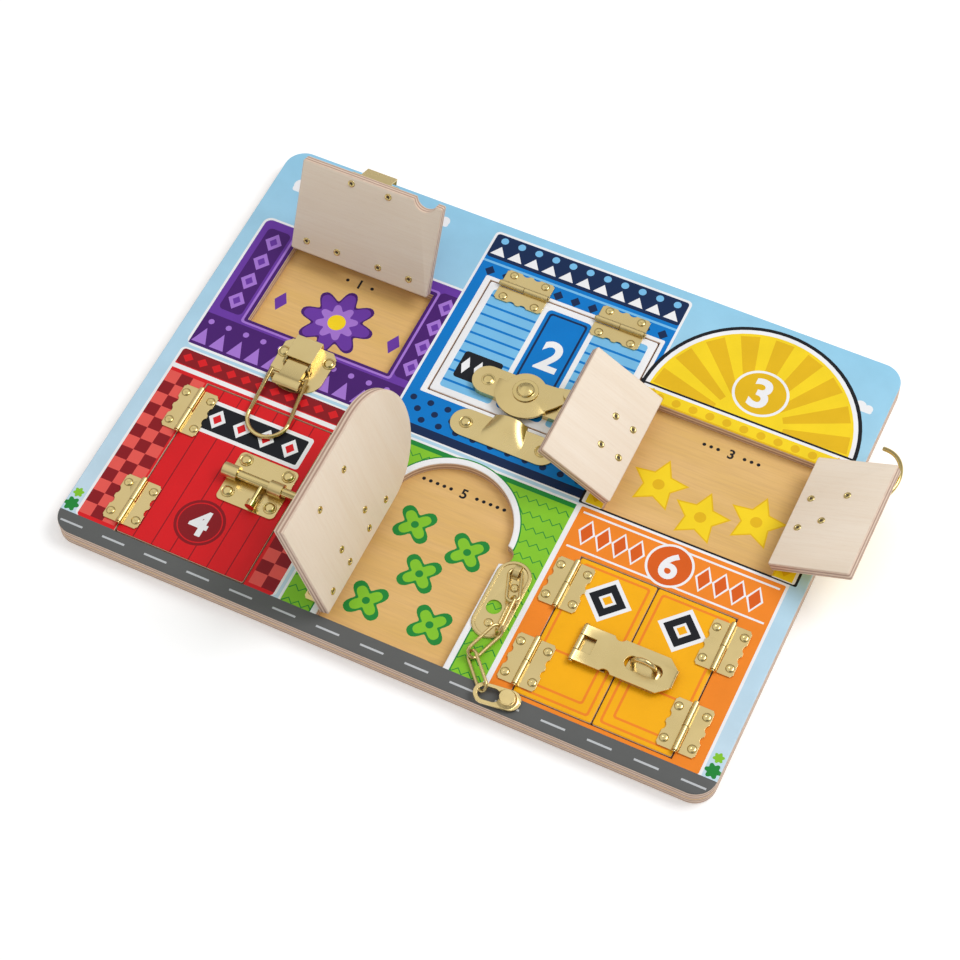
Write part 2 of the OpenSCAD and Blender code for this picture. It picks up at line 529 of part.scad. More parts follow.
// ---- hasp ----
hpz = T+2.3;
module hasp_leaf() {
  color(brass) difference() {
    union() {
      bx3(px, px+19, py-10, py+10, T, T+leaf_t);
      translate([px, 0, hpz]) cyl_y(py-4.6, py+4.6, 1.95, fm);
    }
    translate([px, 0, hpz]) cyl_y(py-7, py+7, pin_r+pin_clear, fs);
    for (s=[-1, 1]) bx3(px-4, px+2.4, s > 0 ? py+4.6 : py-12, s > 0 ? py+12 : py-4.6, T-1, T+5);
    bx3(px-4, px+3, py-8, py+8, T-3, T);
    plate_holes(leaf6_pts);
  }
}
module hasp_pin() { color(brass2) translate([px, 0, hpz]) { cyl_y(py-11.3, py+11.3, pin_r, fs); cyl_y(py-12.1, py-11.3+e, 1.5, fs); cyl_y(py+11.6, py+12.2, 1.5, fs); cyl_y(py+11.2, py+11.7, pin_r, fs); } }
module hasp_strap() {
  color(brass) difference() {
    union() {
      translate([0, 0, T+3]) linear_extrude(1) polygon([[px, py-11.2], [px+48.5, py-11.2], [px+54.5, py-6], [px+54.5, py+6], [px+48.5, py+11.2], [px, py+11.2]]);
      for (s=[-1, 1]) translate([px, 0, hpz]) cyl_y(s > 0 ? py+4.9 : py-11.2, s > 0 ? py+11.2 : py-4.9, 1.95, fm);
      translate([px+54.4, 0, 0]) rotate([90, 0, 0]) translate([0, 0, -py-5.5]) linear_extrude(11) polygon([[-0.4, T+3], [1.4, T+3.9], [0.9, T+4.8], [-0.4, T+4]]);
    }
    translate([px, 0, hpz]) cyl_y(py-14, py+14, pin_r+pin_clear, fs);
    bx3(px-4, px+8.5, py-4.9, py+4.9, T, T+8);
    for (s=[-1, 1]) translate([px+19.5, py+s*12.6, T]) cylinder(h=8, r=3.4, $fn=fm);
    translate([stx-1.2, py, T+1]) stadium(21.5, 8.6, 8, fm);
  }
}
module hasp_staple() {
  color(brass) difference() {
    union() {
      bx3(stx-10.5, stx+8.5, py-10.5, py+10.5, T, T+leaf_t);
      for (s=[-1, 1]) translate([stx-1+s*6.2, py, T+leaf_t-e]) cylinder(h=4.5, r=1.5, $fn=fs);
      translate([stx-1, py, T+leaf_t+4.4]) rotate([90, 0, 0]) rotate_extrude(angle=180, $fn=32) translate([6.2, 0]) circle(r=1.5, $fn=fs);
    }
    plate_holes(staple_pts);
  }
}
module chain_link_1() { link(0); }
module chain_link_2() { link(1); }
module chain_link_3() { link(2); }
module chain_link_4() { link(3); }

backing_board();
face_board();
frame_leaves();
frame_leaves_5();
hinge_pins();
frame_rivets();
latch_base();
latch_pin();
sash_keeper();
bolt_keeper();
chain_anchor();
flap_1_panel();
flap_1_leaves();
flap_1_rivets();
latch_catch();
flap_2_panel();
flap_2_leaves();
flap_2_rivets();
sash_plate();
sash_rivets();
sash_pivot();
sash_cam();
door_3l_panel();
door_3l_leaf();
door_3l_rivets();
hook_eye();
door_3r_panel();
door_3r_leaf();
door_3r_rivets();
hook_plate();
hook_wire();
door_4_panel();
door_4_leaves();
door_4_rivets();
bolt_plate();
bolt_rod();
door_5_panel();
door_5_leaves();
door_5_rivets();
chain_track();
door_6l_panel();
door_6l_leaves();
door_6l_rivets();
hasp_leaf();
hasp_pin();
hasp_strap();
door_6r_panel();
door_6r_leaves();
door_6r_rivets();
hasp_staple();
latch_lever();
latch_bail();
chain_link_1();
chain_link_2();
chain_link_3();
chain_link_4();
chain_slider();
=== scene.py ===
"""Wooden busy board: a plywood tray with eight printed doors, each with its own brass fastener.

Every object is in metres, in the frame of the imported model. Sizes in the code are in millimetres
unless a name or comment says otherwise.
"""

import json
import math
from functools import cache

import bmesh
import bpy
from mathutils import Matrix, Vector
from mathutils.geometry import delaunay_2d_cdt


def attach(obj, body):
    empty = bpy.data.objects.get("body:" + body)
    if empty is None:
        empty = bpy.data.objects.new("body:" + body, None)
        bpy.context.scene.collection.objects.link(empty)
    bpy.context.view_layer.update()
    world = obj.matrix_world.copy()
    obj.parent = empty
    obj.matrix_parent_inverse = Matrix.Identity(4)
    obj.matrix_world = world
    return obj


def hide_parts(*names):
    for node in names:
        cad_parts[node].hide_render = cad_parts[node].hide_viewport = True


bl_info = {
    "name": "Wooden busy board",
    "version": (1, 0, 0),
    "blender": (4, 5, 0),
    "location": "View3D > Sidebar > Busy board",
    "description": "Printed plywood, brass hinges, rivets and fasteners for the busy board",
    "category": "Object",
}

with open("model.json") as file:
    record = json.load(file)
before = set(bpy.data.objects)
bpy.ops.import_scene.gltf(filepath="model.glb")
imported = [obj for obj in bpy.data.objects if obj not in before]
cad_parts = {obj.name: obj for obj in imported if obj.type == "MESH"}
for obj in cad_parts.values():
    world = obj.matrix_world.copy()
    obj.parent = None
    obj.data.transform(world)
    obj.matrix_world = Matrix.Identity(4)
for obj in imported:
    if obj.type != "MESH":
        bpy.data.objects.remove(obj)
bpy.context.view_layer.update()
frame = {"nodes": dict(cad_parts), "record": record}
MM = 0.001
BODY_OF = {node: body for body, nodes in frame["record"]["behaviour"]["bodies"].items() for node in nodes}

# ---- the board's own measures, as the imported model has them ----
# Tops of the backing board and of the face board, how thick a door is and how far it stays off its opening.
BACK_TOP = 5.5
TOP = 12.0
DOOR = 6.0
GAP = 0.75
# How thick sheet brass is, and how high over the face the sash lock's rivets sit and the hinge pins run.
LEAF = 0.9
PAN = 4.0
PIN_RISE = 1.9
HINGE_Z = TOP + PIN_RISE
BOARD = (-197.0, 197.0, -146.0, 146.0)
CORNER = 12.5
DOOR_CORNER = 1.2
SMALLEST_CORNER = 0.1
# Each opening's sides and its near and far edge; the far edge of the arched one is where its arch springs.
WELLS = {
    1: (-162.5, -72.0, 22.0, 82.2),
    2: (-46.5, 61.5, 22.0, 106.1),
    3: (76.0, 176.575, -9.0, 67.0),
    4: (-162.5, -81.5, -134.0, -27.0),
    5: (-36.8, 39.2, -133.5, -53.0),
    6: (78.2, 170.5, -131.5, -41.0),
}
PLY_LAYERS = 5
# Each standing door's hinge: the axis it runs along, a point on it and the way it opens.
HINGES = {
    "flap_1": ("X", (0, WELLS[1][3] - GAP / 2, HINGE_Z), -1),
    "door_3l": ("Y", (WELLS[3][0] + GAP / 2, 0, HINGE_Z), -1),
    "door_3r": ("Y", (WELLS[3][1] - GAP / 2, 0, HINGE_Z), 1),
    "door_5": ("Y", (WELLS[5][0] + GAP / 2, 0, HINGE_Z), -1),
}
# Creases sharper than these, in degrees, stay sharp in the shading of sheets, sheet metal and other pieces.
SHEET_CREASE = 32
METAL_CREASE = 25
PIECE_CREASE = 38


def colour(values):
    """A display colour, 0 to 255, as Blender's linear red, green, blue and alpha."""
    parts = [v / 255 for v in values]
    linear = [p / 12.92 if p <= 0.04045 else ((p + 0.055) / 1.055) ** 2.4 for p in parts]
    return (*linear, 1.0)


# ---- settings ----
def paint(name, description, *values):
    return bpy.props.FloatVectorProperty(
        name=name, description=description, subtype="COLOR", size=4, min=0, max=1, default=colour(values)
    )


def amount(name, description, value, low=0, **kind):
    return bpy.props.FloatProperty(name=name, description=description, default=value, min=low, **kind)


def length(name, description, mm):
    return amount(name, description, mm * MM, precision=5, subtype="DISTANCE", unit="LENGTH")


def angle(name, description, degrees):
    return bpy.props.FloatProperty(
        name=name, description=description, default=math.radians(degrees), subtype="ANGLE"
    )


class BUSYBOARD_PG_print(bpy.types.PropertyGroup):
    """Inks of the printed faces."""

    sky_top: paint("Sky, far edge", "Ground colour at the far edge", 152, 208, 236)
    sky_foot: paint("Sky, near edge", "Ground colour at the near edge", 202, 224, 238)
    white: paint("White", "Borders and numbers", 244, 244, 246)
    night: paint("Night", "The darkest ink", 26, 28, 34)
    grey: paint("Grey", "Strip along the near edge", 98, 99, 98)
    grey_light: paint("Grey mark", "Marks on the grey strip", 196, 199, 202)
    purple: paint("Purple", "Field round flap 1", 108, 58, 165)
    purple_dark: paint("Dark purple", "Bands of field 1", 74, 30, 112)
    purple_light: paint("Light purple", "Motifs of field 1", 168, 120, 214)
    red: paint("Red", "Field round door 4", 222, 30, 36)
    red_dark: paint("Dark red", "Bands of field 4", 142, 24, 32)
    red_light: paint("Light red", "Motifs of field 4", 236, 92, 84)
    blue: paint("Blue", "Field round flap 2", 0, 122, 204)
    navy: paint("Navy", "Bands of field 2", 18, 42, 82)
    blue_light: paint("Light blue", "Motifs of field 2", 122, 192, 236)
    yellow: paint("Yellow", "Field round doors 3", 250, 216, 34)
    gold: paint("Gold", "Motifs of field 3", 232, 186, 24)
    green: paint("Green", "Field round door 5", 134, 200, 48)
    green_dark: paint("Dark green", "Motifs of field 5", 34, 138, 58)
    orange: paint("Orange", "Field round doors 6", 246, 138, 38)
    orange_dark: paint("Dark orange", "Motifs of field 6", 222, 96, 26)
    amber: paint("Amber", "Doors 6", 252, 180, 14)
    tan: paint("Tan", "Stained floor of the wells", 226, 184, 112)


class BUSYBOARD_PG_wood(bpy.types.PropertyGroup):
    """Plywood of the board and its doors."""

    face: paint("Face veneer", "Bare faces of the plywood", 244, 229, 210)
    grain: paint("Grain", "Darker streaks of the face veneer", 238, 219, 197)
    edge_pale: paint("Pale layer", "Pale layers at an edge", 236, 212, 190)
    edge_dark: paint("Dark layer", "Dark layers at an edge", 184, 149, 131)
    rounding: length("Edge rounding", "Radius sanded on every edge", 0.7)


class BUSYBOARD_PG_brass(bpy.types.PropertyGroup):
    """Brass-plated hardware."""

    plate: paint("Brass", "Plated sheet parts", 224, 202, 144)
    wire: paint("Turned brass", "Rivets, pins and wire", 224, 202, 140)
    edge: length("Edge radius", "Rounding of sheet-metal edges", 0.14)
    rivet_radius: length("Rivet head radius", "Radius of a domed rivet head", 2.65)
    rivet_height: length("Rivet head height", "Height of a domed rivet head", 0.85)
    boss_radius: length("Boss radius", "Radius of a rivet head with its pressed ring", 4.0)
    boss_height: length("Boss height", "Height of a rivet head with its pressed ring", 1.5)
    low_boss_height: length("Low boss height", "Height of the boss under the sash lock's handle", 0.85)
    eyelet_radius: length("Eyelet radius", "Radius of a rivet's rolled tail", 2.2)
    eyelet_height: length("Eyelet height", "Height of a rivet's rolled tail", 0.48)
    link_radius: length("Link wire radius", "Radius of the chain's wire", 0.95)


class BUSYBOARD_PG_angles(bpy.types.PropertyGroup):
    """How far each door stands open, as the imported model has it."""

    flap_1: angle("Flap 1", "Opening of flap 1", 116)
    door_3l: angle("Door 3 left", "Opening of the left door 3", 146)
    door_3r: angle("Door 3 right", "Opening of the right door 3", 154)
    door_5: angle("Door 5", "Opening of the arched door 5", 106)


class BUSYBOARD_PG_stage(bpy.types.PropertyGroup):
    """Floor, lamp, room light and camera."""

    floor: paint("Floor", "Colour of the floor", 252, 252, 252)
    lift: amount("Floor lift", "How far the floor is lifted towards white as it is seen", 0.2)
    world: amount("Room light", "Strength of the light from all round", 0.84)
    key: amount("Main lamp", "Power of the large lamp", 15.0, subtype="POWER", unit="POWER")
    lens: amount("Lens", "Focal length in millimetres", 91.086, 1)


# ---- objects and meshes ----
def placed(name, data):
    """A new object in the scene."""
    made = bpy.data.objects.new(name, data)
    bpy.context.scene.collection.objects.link(made)
    return made


def mesh_from(bm, name):
    """A new mesh from a finished bmesh."""
    mesh = bpy.data.meshes.new(name)
    bm.to_mesh(mesh)
    bm.free()
    return mesh


def plain_mesh(name, carrier):
    """A new mesh of an object as it stands, with its modifiers run."""
    bpy.context.view_layer.update()
    mesh = bpy.data.meshes.new_from_object(carrier.evaluated_get(bpy.context.evaluated_depsgraph_get()))
    mesh.name = name
    bpy.data.objects.remove(carrier)
    return mesh


def finish_piece(piece, body, slot_name, *nodes, crease=PIECE_CREASE):
    """Shades a finished piece smooth with sharp creases, hangs it on its body and hides the given imported
    parts.
    """
    piece.data.shade_smooth()
    piece.data.set_sharp_from_angle(angle=math.radians(crease))
    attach(piece, body)
    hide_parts(*nodes)


# ---- flat outlines, in millimetres ----
def counter_clockwise(points):
    area = sum(a[0] * b[1] - b[0] * a[1] for a, b in zip(points, points[1:] + points[:1]))
    return points if area > 0 else points[::-1]


def arc(x, y, rx, ry, start, end, steps):
    """Points on an ellipse from start to end, in degrees."""
    turns = [math.radians(start + (end - start) * i / steps) for i in range(steps + 1)]
    return [(x + rx * math.cos(t), y + ry * math.sin(t)) for t in turns]


def bearing(x, y):
    """The direction of a point from the origin, in degrees."""
    return math.degrees(math.atan2(y, x))


def rounded_box(x0, x1, y0, y1, r=0.0, steps=6):
    if r <= 0:
        return [(x0, y0), (x1, y0), (x1, y1), (x0, y1)]
    centres = ((x1 - r, y0 + r), (x1 - r, y1 - r), (x0 + r, y1 - r), (x0 + r, y0 + r))
    points = []
    for start, (x, y) in zip((-90, 0, 90, 180), centres):
        points += arc(x, y, r, r, start, start + 90, steps)
    return points


class Print:
    """Shapes of ink in millimetres, each laid over the ones before it."""

    petal_steps = 12
    petal_point = 1.4

    def __init__(self, ground):
        self.ground = ground
        self.shapes = []

    def area(self, ink, points):
        self.shapes.append((ink, counter_clockwise([tuple(p) for p in points])))

    def box(self, ink, x0, x1, y0, y1, r=0.0):
        self.area(ink, rounded_box(x0, x1, y0, y1, r))

    def inset(self, ink, sides, by, r=0.0):
        """A box that lies as far inside the given sides on every side."""
        x0, x1, y0, y1 = sides
        self.box(ink, x0 + by, x1 - by, y0 + by, y1 - by, r)

    def disc(self, ink, x, y, rx, ry=None, steps=44):
        self.area(ink, arc(x, y, rx, ry or rx, 0, 360, steps)[:-1])

    def diamond(self, ink, x, y, rx, ry=None):
        ry = ry or rx
        self.area(ink, [(x - rx, y), (x, y - ry), (x + rx, y), (x, y + ry)])

    def star(self, ink, x, y, outer, inner, tips):
        points = []
        for i in range(2 * tips):
            r, t = (inner if i % 2 else outer), math.radians(90 + 180 * i / tips)
            points.append((x + r * math.cos(t), y + r * math.sin(t)))
        self.area(ink, points)

    def flower(self, ink, x, y, r, petals, depth, turn=0.0):
        """A round shape with petals; depth is how far the edge comes in between them, as a share of r."""
        points = []
        for i in range(petals * self.petal_steps):
            t = 2 * math.pi * i / (petals * self.petal_steps)
            reach = r * (1 - depth * (0.5 - 0.5 * math.cos(petals * t)) ** self.petal_point)
            t += math.radians(turn)
            points.append((x + reach * math.cos(t), y + reach * math.sin(t)))
        self.area(ink, points)

    def line(self, ink, points, width):
        """A line of even width through the points."""
        left, right = [], []
        for i, (x, y) in enumerate(points):
            before, after = points[max(i - 1, 0)], points[min(i + 1, len(points) - 1)]
            along = Vector((after[0] - before[0], after[1] - before[1])).normalized()
            left.append((x - along.y * width / 2, y + along.x * width / 2))
            right.append((x + along.y * width / 2, y - along.x * width / 2))
        self.area(ink, left + right[::-1])

    def number(self, ink, digit, x, y, height):
        for face in numeral(digit):
            self.area(ink, [(x + px * height, y + py * height) for px, py in face])


# How much a plain digit is thickened, how finely it is rounded, and the share of its height squared
# below which a face is too small to print.
NUMERAL_BOLD = 0.028
NUMERAL_STEPS = 5
NUMERAL_SPECK = 1e-6


@cache
def numeral(digit):
    """The flat faces of a plain digit, one unit high and centred."""
    text = bpy.data.curves.new("numeral", "FONT")
    text.body = digit
    text.offset = NUMERAL_BOLD
    text.resolution_u = NUMERAL_STEPS
    mesh = plain_mesh("numeral", placed("numeral", text))
    places = [v.co for v in mesh.vertices]
    low = Vector((min(p.x for p in places), min(p.y for p in places)))
    high = Vector((max(p.x for p in places), max(p.y for p in places)))
    middle, size = (low + high) / 2, high.y - low.y
    faces = [
        [((places[i].x - middle.x) / size, (places[i].y - middle.y) / size) for i in f.vertices]
        for f in mesh.polygons
        if f.area > NUMERAL_SPECK * size * size
    ]
    bpy.data.meshes.remove(mesh)
    bpy.data.curves.remove(text)
    return faces


# ---- sheets ----
# Points closer than this, in millimetres, are one, in the printed top and in the underside.
INK_WELD = 1e-4
FOOT_WELD = 1e-6


def split_by_ink(outline, holes, drawing):
    """Cuts a flat outline into triangles along every shape's edge.

    Returns points, triangles and each triangle's ink.
    """
    xs, ys = [p[0] for p in outline], [p[1] for p in outline]
    near = [
        (ink, pts)
        for ink, pts in drawing.shapes
        if max(p[0] for p in pts) > min(xs) and min(p[0] for p in pts) < max(xs)
        and max(p[1] for p in pts) > min(ys) and min(p[1] for p in pts) < max(ys)
    ]
    loops = [outline] + [pts for _, pts in near] + holes
    inks = [drawing.ground] + [ink for ink, _ in near]
    points, faces = [], []
    for loop in loops:
        faces.append(list(range(len(points), len(points) + len(loop))))
        points += [Vector(p) for p in loop]
    verts, _, triangles, _, _, owners = delaunay_2d_cdt(points, [], faces, 1, INK_WELD, True)
    kept, kept_inks = [], []
    for triangle, owner in zip(triangles, owners):
        if 0 in owner and max(owner) < len(inks):
            kept.append(list(triangle))
            kept_inks.append(inks[max(owner)])
    used = sorted({i for t in kept for i in t})
    renumber = {old: new for new, old in enumerate(used)}
    return [tuple(verts[i]) for i in used], [[renumber[i] for i in t] for t in kept], kept_inks


def rim_loops(triangles):
    """Closed loops of edges that only one triangle uses, with the sheet on their left."""
    directed = {(t[i], t[(i + 1) % 3]) for t in triangles for i in range(3)}
    after = {a: b for a, b in directed if (b, a) not in directed}
    loops = []
    while after:
        start, here = next(iter(after.items()))
        loop = [start]
        del after[start]
        while here != start:
            loop.append(here)
            here = after.pop(here)
        loops.append(loop)
    return loops


# Holds back the corners of a growing loop where it turns so sharply that they would run far out.
SHARPEST_TURN = 0.3


def outward(points, loop):
    """For each corner of a loop, how it moves when the loop grows by one."""
    moves = []
    for i, here in enumerate(loop):
        p, v, n = (Vector(points[k]) for k in (loop[i - 1], here, loop[(i + 1) % len(loop)]))
        a, b = (v - p).normalized(), (n - v).normalized()
        na, nb = Vector((a.y, -a.x)), Vector((b.y, -b.x))
        moves.append((na + nb) / max(1 + na.dot(nb), SHARPEST_TURN))
    return moves


# Angles, in degrees, of the steps that round a sheet's edges; the first lies nearest its face.
EDGE_STEPS = (30, 60, 90)
# The ink runs over this many of those steps.
INKED_STEPS = 2


def edge_rings(r, z0, z1):
    """How far each ring round a sheet stands outside its printed top, and its height."""
    rings = [(0, z1)]
    for t in map(math.radians, EDGE_STEPS):
        rings.append((r * math.sin(t), z1 - r * (1 - math.cos(t))))
    for t in map(math.radians, (*EDGE_STEPS[::-1], 0)):
        rings.append((r * math.sin(t), z0 + r * (1 - math.cos(t))))
    return rings


def top_and_walls(points, triangles, colours, rings):
    """The printed top and the rings of faces below its rim.

    Returns corners, faces, each face's ink and the loops of corners at the foot.
    """
    coords = [(x, y, rings[0][1]) for x, y in points]
    faces, kinds, feet = [tuple(t) for t in triangles], list(colours), []
    rim_ink = {(t[i], t[(i + 1) % 3]): ink for t, ink in zip(triangles, colours) for i in range(3)}
    for loop in rim_loops(triangles):
        moves = outward(points, loop)
        above = loop
        for step, (out, z) in enumerate(rings[1:]):
            ring = list(range(len(coords), len(coords) + len(loop)))
            coords += [(points[k][0] + m.x * out, points[k][1] + m.y * out, z) for k, m in zip(loop, moves)]
            for i in range(len(loop)):
                j = (i + 1) % len(loop)
                faces.append((ring[i], ring[j], above[j], above[i]))
                kinds.append(rim_ink[(loop[i], loop[j])] if step < INKED_STEPS else None)
            above = ring
        feet.append(above)
    return coords, faces, kinds, feet


def solid_test(loops):
    """A test of whether a flat point lies inside an odd number of the loops."""

    def inside(x, y):
        count = 0
        for loop in loops:
            for (ax, ay), (bx, by) in zip(loop, loop[1:] + loop[:1]):
                if (ay > y) != (by > y) and x < ax + (y - ay) * (bx - ax) / (by - ay):
                    count += 1
        return count % 2 == 1

    return inside


def underside(coords, feet):
    """Triangles that close a sheet's underside between the loops at its foot."""
    corners = [k for loop in feet for k in loop]
    edges, start = [], 0
    for loop in feet:
        edges += [(start + i, start + (i + 1) % len(loop)) for i in range(len(loop))]
        start += len(loop)
    flat = [Vector(coords[k][:2]) for k in corners]
    verts, _, triangles, origins, _, _ = delaunay_2d_cdt(flat, edges, [], 1, FOOT_WELD, True)
    inside = solid_test([[coords[k][:2] for k in loop] for loop in feet])
    faces = []
    for t in triangles:
        middle = sum((Vector(verts[i]) for i in t), Vector((0, 0))) / 3
        if inside(middle.x, middle.y):
            faces.append(tuple(corners[origins[i][0]] for i in reversed(t)))
    return faces


def lay_ink(mesh, coords, kinds):
    """Gives printed faces their ink, with an alpha of 0 where it is only a stain, and the rest bare wood."""
    inks = bpy.context.scene.busyboard_print
    shades = {ink: tuple(getattr(inks, ink)) for ink in set(kinds) if ink not in (None, "sky")}
    far, near = Vector(inks.sky_top), Vector(inks.sky_foot)
    tint = mesh.color_attributes.new("ink", "FLOAT_COLOR", "CORNER")
    for poly, kind in zip(mesh.polygons, kinds):
        poly.material_index = 0 if kind else 1
        for k in poly.loop_indices:
            if kind == "sky":
                share = (coords[mesh.loops[k].vertex_index][1] - BOARD[2]) / (BOARD[3] - BOARD[2])
                tint.data[k].color = near.lerp(far, min(max(share, 0), 1))
            elif kind:
                tint.data[k].color = shades[kind][:3] + (0.0 if kind == "tan" else 1.0,)


def printed_sheet(name, outline, holes, drawing, z0, z1, place):
    """A plywood sheet with a printed top.

    outline and holes are functions of an inset in millimetres; place moves the finished sheet.
    """
    r = bpy.context.scene.busyboard_wood.rounding / MM
    points, triangles, colours = split_by_ink(outline(r), [h(-r) for h in holes], drawing)
    coords, faces, kinds, feet = top_and_walls(points, triangles, colours, edge_rings(r, z0, z1))
    below = underside(coords, feet)
    mesh = bpy.data.meshes.new(name)
    mesh.from_pydata([place @ (Vector(c) * MM) for c in coords], [], faces + below)
    # Each layer is filled before the next is made, as making one moves the others.
    lay_ink(mesh, coords, kinds + [None] * len(below))
    spot = mesh.attributes.new("sheet_place", "FLOAT_VECTOR", "POINT")
    spot.data.foreach_set("vector", [v * MM for c in coords for v in c])
    depth = mesh.attributes.new("ply_depth", "FLOAT", "POINT")
    depth.data.foreach_set("value", [PLY_LAYERS * (c[2] - z0) / (z1 - z0) for c in coords])
    mesh.validate()
    mesh.materials.append(printed_face())
    mesh.materials.append(plywood())
    return placed(name, mesh)


# ---- materials ----
class Nodes:
    """A tree of nodes, with the kinds of node that the finishes and the room are made of.

    Inputs are given as sockets, which are linked, or as values.
    """

    def __init__(self, tree):
        self.tree = tree
        tree.nodes.clear()

    def feed(self, target, value):
        """Links an input to a socket, or sets it to a value."""
        if isinstance(value, bpy.types.NodeSocket):
            self.tree.links.new(value, target)
        else:
            target.default_value = value

    def node(self, kind, inputs=None, **choices):
        made = self.tree.nodes.new(kind)
        for key, value in choices.items():
            setattr(made, key, value)
        for key, value in (inputs or {}).items():
            self.feed(made.inputs[key], value)
        return made

    def layer(self, name):
        """What a mesh holds under this name."""
        return self.node("ShaderNodeAttribute", attribute_name=name).outputs

    def maths(self, operation, a, b):
        return self.node("ShaderNodeMath", {0: a, 1: b}, operation=operation).outputs[0]

    def noise(self, vector, scale, detail=3.0, roughness=0.5):
        inputs = {"Vector": vector, "Scale": scale, "Detail": detail, "Roughness": roughness}
        return self.node("ShaderNodeTexNoise", inputs).outputs["Fac"]

    def stretched(self, vector, scale):
        return self.node("ShaderNodeMapping", {"Vector": vector, "Scale": scale}).outputs["Vector"]

    def ranged(self, value, low, high, start=0.0, stop=1.0):
        """Low at start, high at stop and evenly between, and never past either."""
        inputs = {"Value": value, "From Min": start, "From Max": stop, "To Min": low, "To Max": high}
        return self.node("ShaderNodeMapRange", inputs).outputs["Result"]

    def mixed(self, factor, a, b, blend="MIX"):
        """Mixes two colours; each is a socket or a colour value, and so is the factor."""
        inputs = {0: factor, 6: a, 7: b}
        return self.node("ShaderNodeMix", inputs, data_type="RGBA", blend_type=blend).outputs[2]

    def bumped(self, height, distance, rounding=0.0):
        """Relief as deep as distance in metres, over edges that look rounded where a radius is given."""
        inputs = {"Height": height, "Distance": distance, "Strength": 1.0}
        if rounding:
            edge = self.node("ShaderNodeBevel", {"Radius": rounding}, samples=EDGE_SAMPLES)
            inputs["Normal"] = edge.outputs[0]
        return self.node("ShaderNodeBump", inputs).outputs[0]


def new_material(name):
    """A node material. Returns it, its nodes and a function that feeds its Principled shader."""
    material = bpy.data.materials.get(name) or bpy.data.materials.new(name)
    material.use_nodes = True
    nodes = Nodes(material.node_tree)
    shader = nodes.node("ShaderNodeBsdfPrincipled")
    nodes.node("ShaderNodeOutputMaterial", {0: shader.outputs[0]})

    def finish(**inputs):
        for key, value in inputs.items():
            nodes.feed(shader.inputs[key.replace("_", " ")], value)

    return material, nodes, finish


# Depths of relief and the rounding that brass edges show, in metres, and how finely that is worked out.
INK_RELIEF = 0.00004
WOOD_RELIEF = 0.00006
BRASS_RELIEF = 0.000001
BRASS_EDGE = 0.0002
EDGE_SAMPLES = 12
# Roughness of sheet and turned brass, and the shares of it where the plating is clean and is smeared.
PLATE_ROUGHNESS = 0.28
WIRE_ROUGHNESS = 0.19
BRASS_SMEAR = (0.88, 1.15)
# Stains and fibres of the wood, how much darker brass is where it has drifted, and the two dark browns of the
# painted shade in a rivet's bore.
STAIN = (0.87, 0.56, 0.26, 1)
DARK_STAIN = (0.60, 0.36, 0.15, 1)
END_FIBRE = (0.36, 0.24, 0.17, 1)
HEARTWOOD = (0.80, 0.64, 0.47, 1)
PORE = (0.55, 0.40, 0.28, 1)
BRASS_DRIFT = (0.95, 0.93, 0.88)
# Painted shade: near-black browns that stand in for the shade inside a rivet's hollow tail.
BORE_SHADE = ((0.045, 0.03, 0.016, 1), (0.10, 0.07, 0.035, 1))
# Shares of a ply: how far its edge wanders, how far it stays off the faces, and how thick the face looks.
WANDER = 0.12
HELD = 0.05
SKIN = 0.12


@cache
def printed_face():
    """Screen-printed ink under thin varnish; the wood shows through where the ink is only a stain."""
    material, nodes, finish = new_material("printed_face")
    ink = nodes.layer("ink")
    place = nodes.layer("sheet_place")["Vector"]
    streak = nodes.noise(nodes.stretched(place, (14, 260, 40)), 3.0, 6.0, 0.6)
    broad = nodes.noise(nodes.stretched(place, (5, 34, 10)), 3.0)
    stain = nodes.mixed(nodes.ranged(broad, 0.0, 0.55, 0.35, 0.75), ink["Color"], STAIN)
    stain = nodes.mixed(nodes.ranged(streak, 0.0, 0.45, 0.4, 0.75), stain, DARK_STAIN)
    cloud = nodes.ranged(nodes.noise(place, 60.0, 4.0), 0.955, 1.03, 0.3, 0.7)
    opaque = nodes.mixed(1.0, ink["Color"], cloud, "MULTIPLY")
    relief = nodes.mixed(0.35, nodes.noise(place, 900.0, 2.0), streak)
    finish(
        Base_Color=nodes.mixed(ink["Alpha"], stain, opaque),
        Roughness=nodes.ranged(nodes.noise(place, 240.0), 0.33, 0.47, 0.3, 0.7),
        Specular_IOR_Level=0.16,
        Normal=nodes.bumped(relief, INK_RELIEF),
    )
    return material


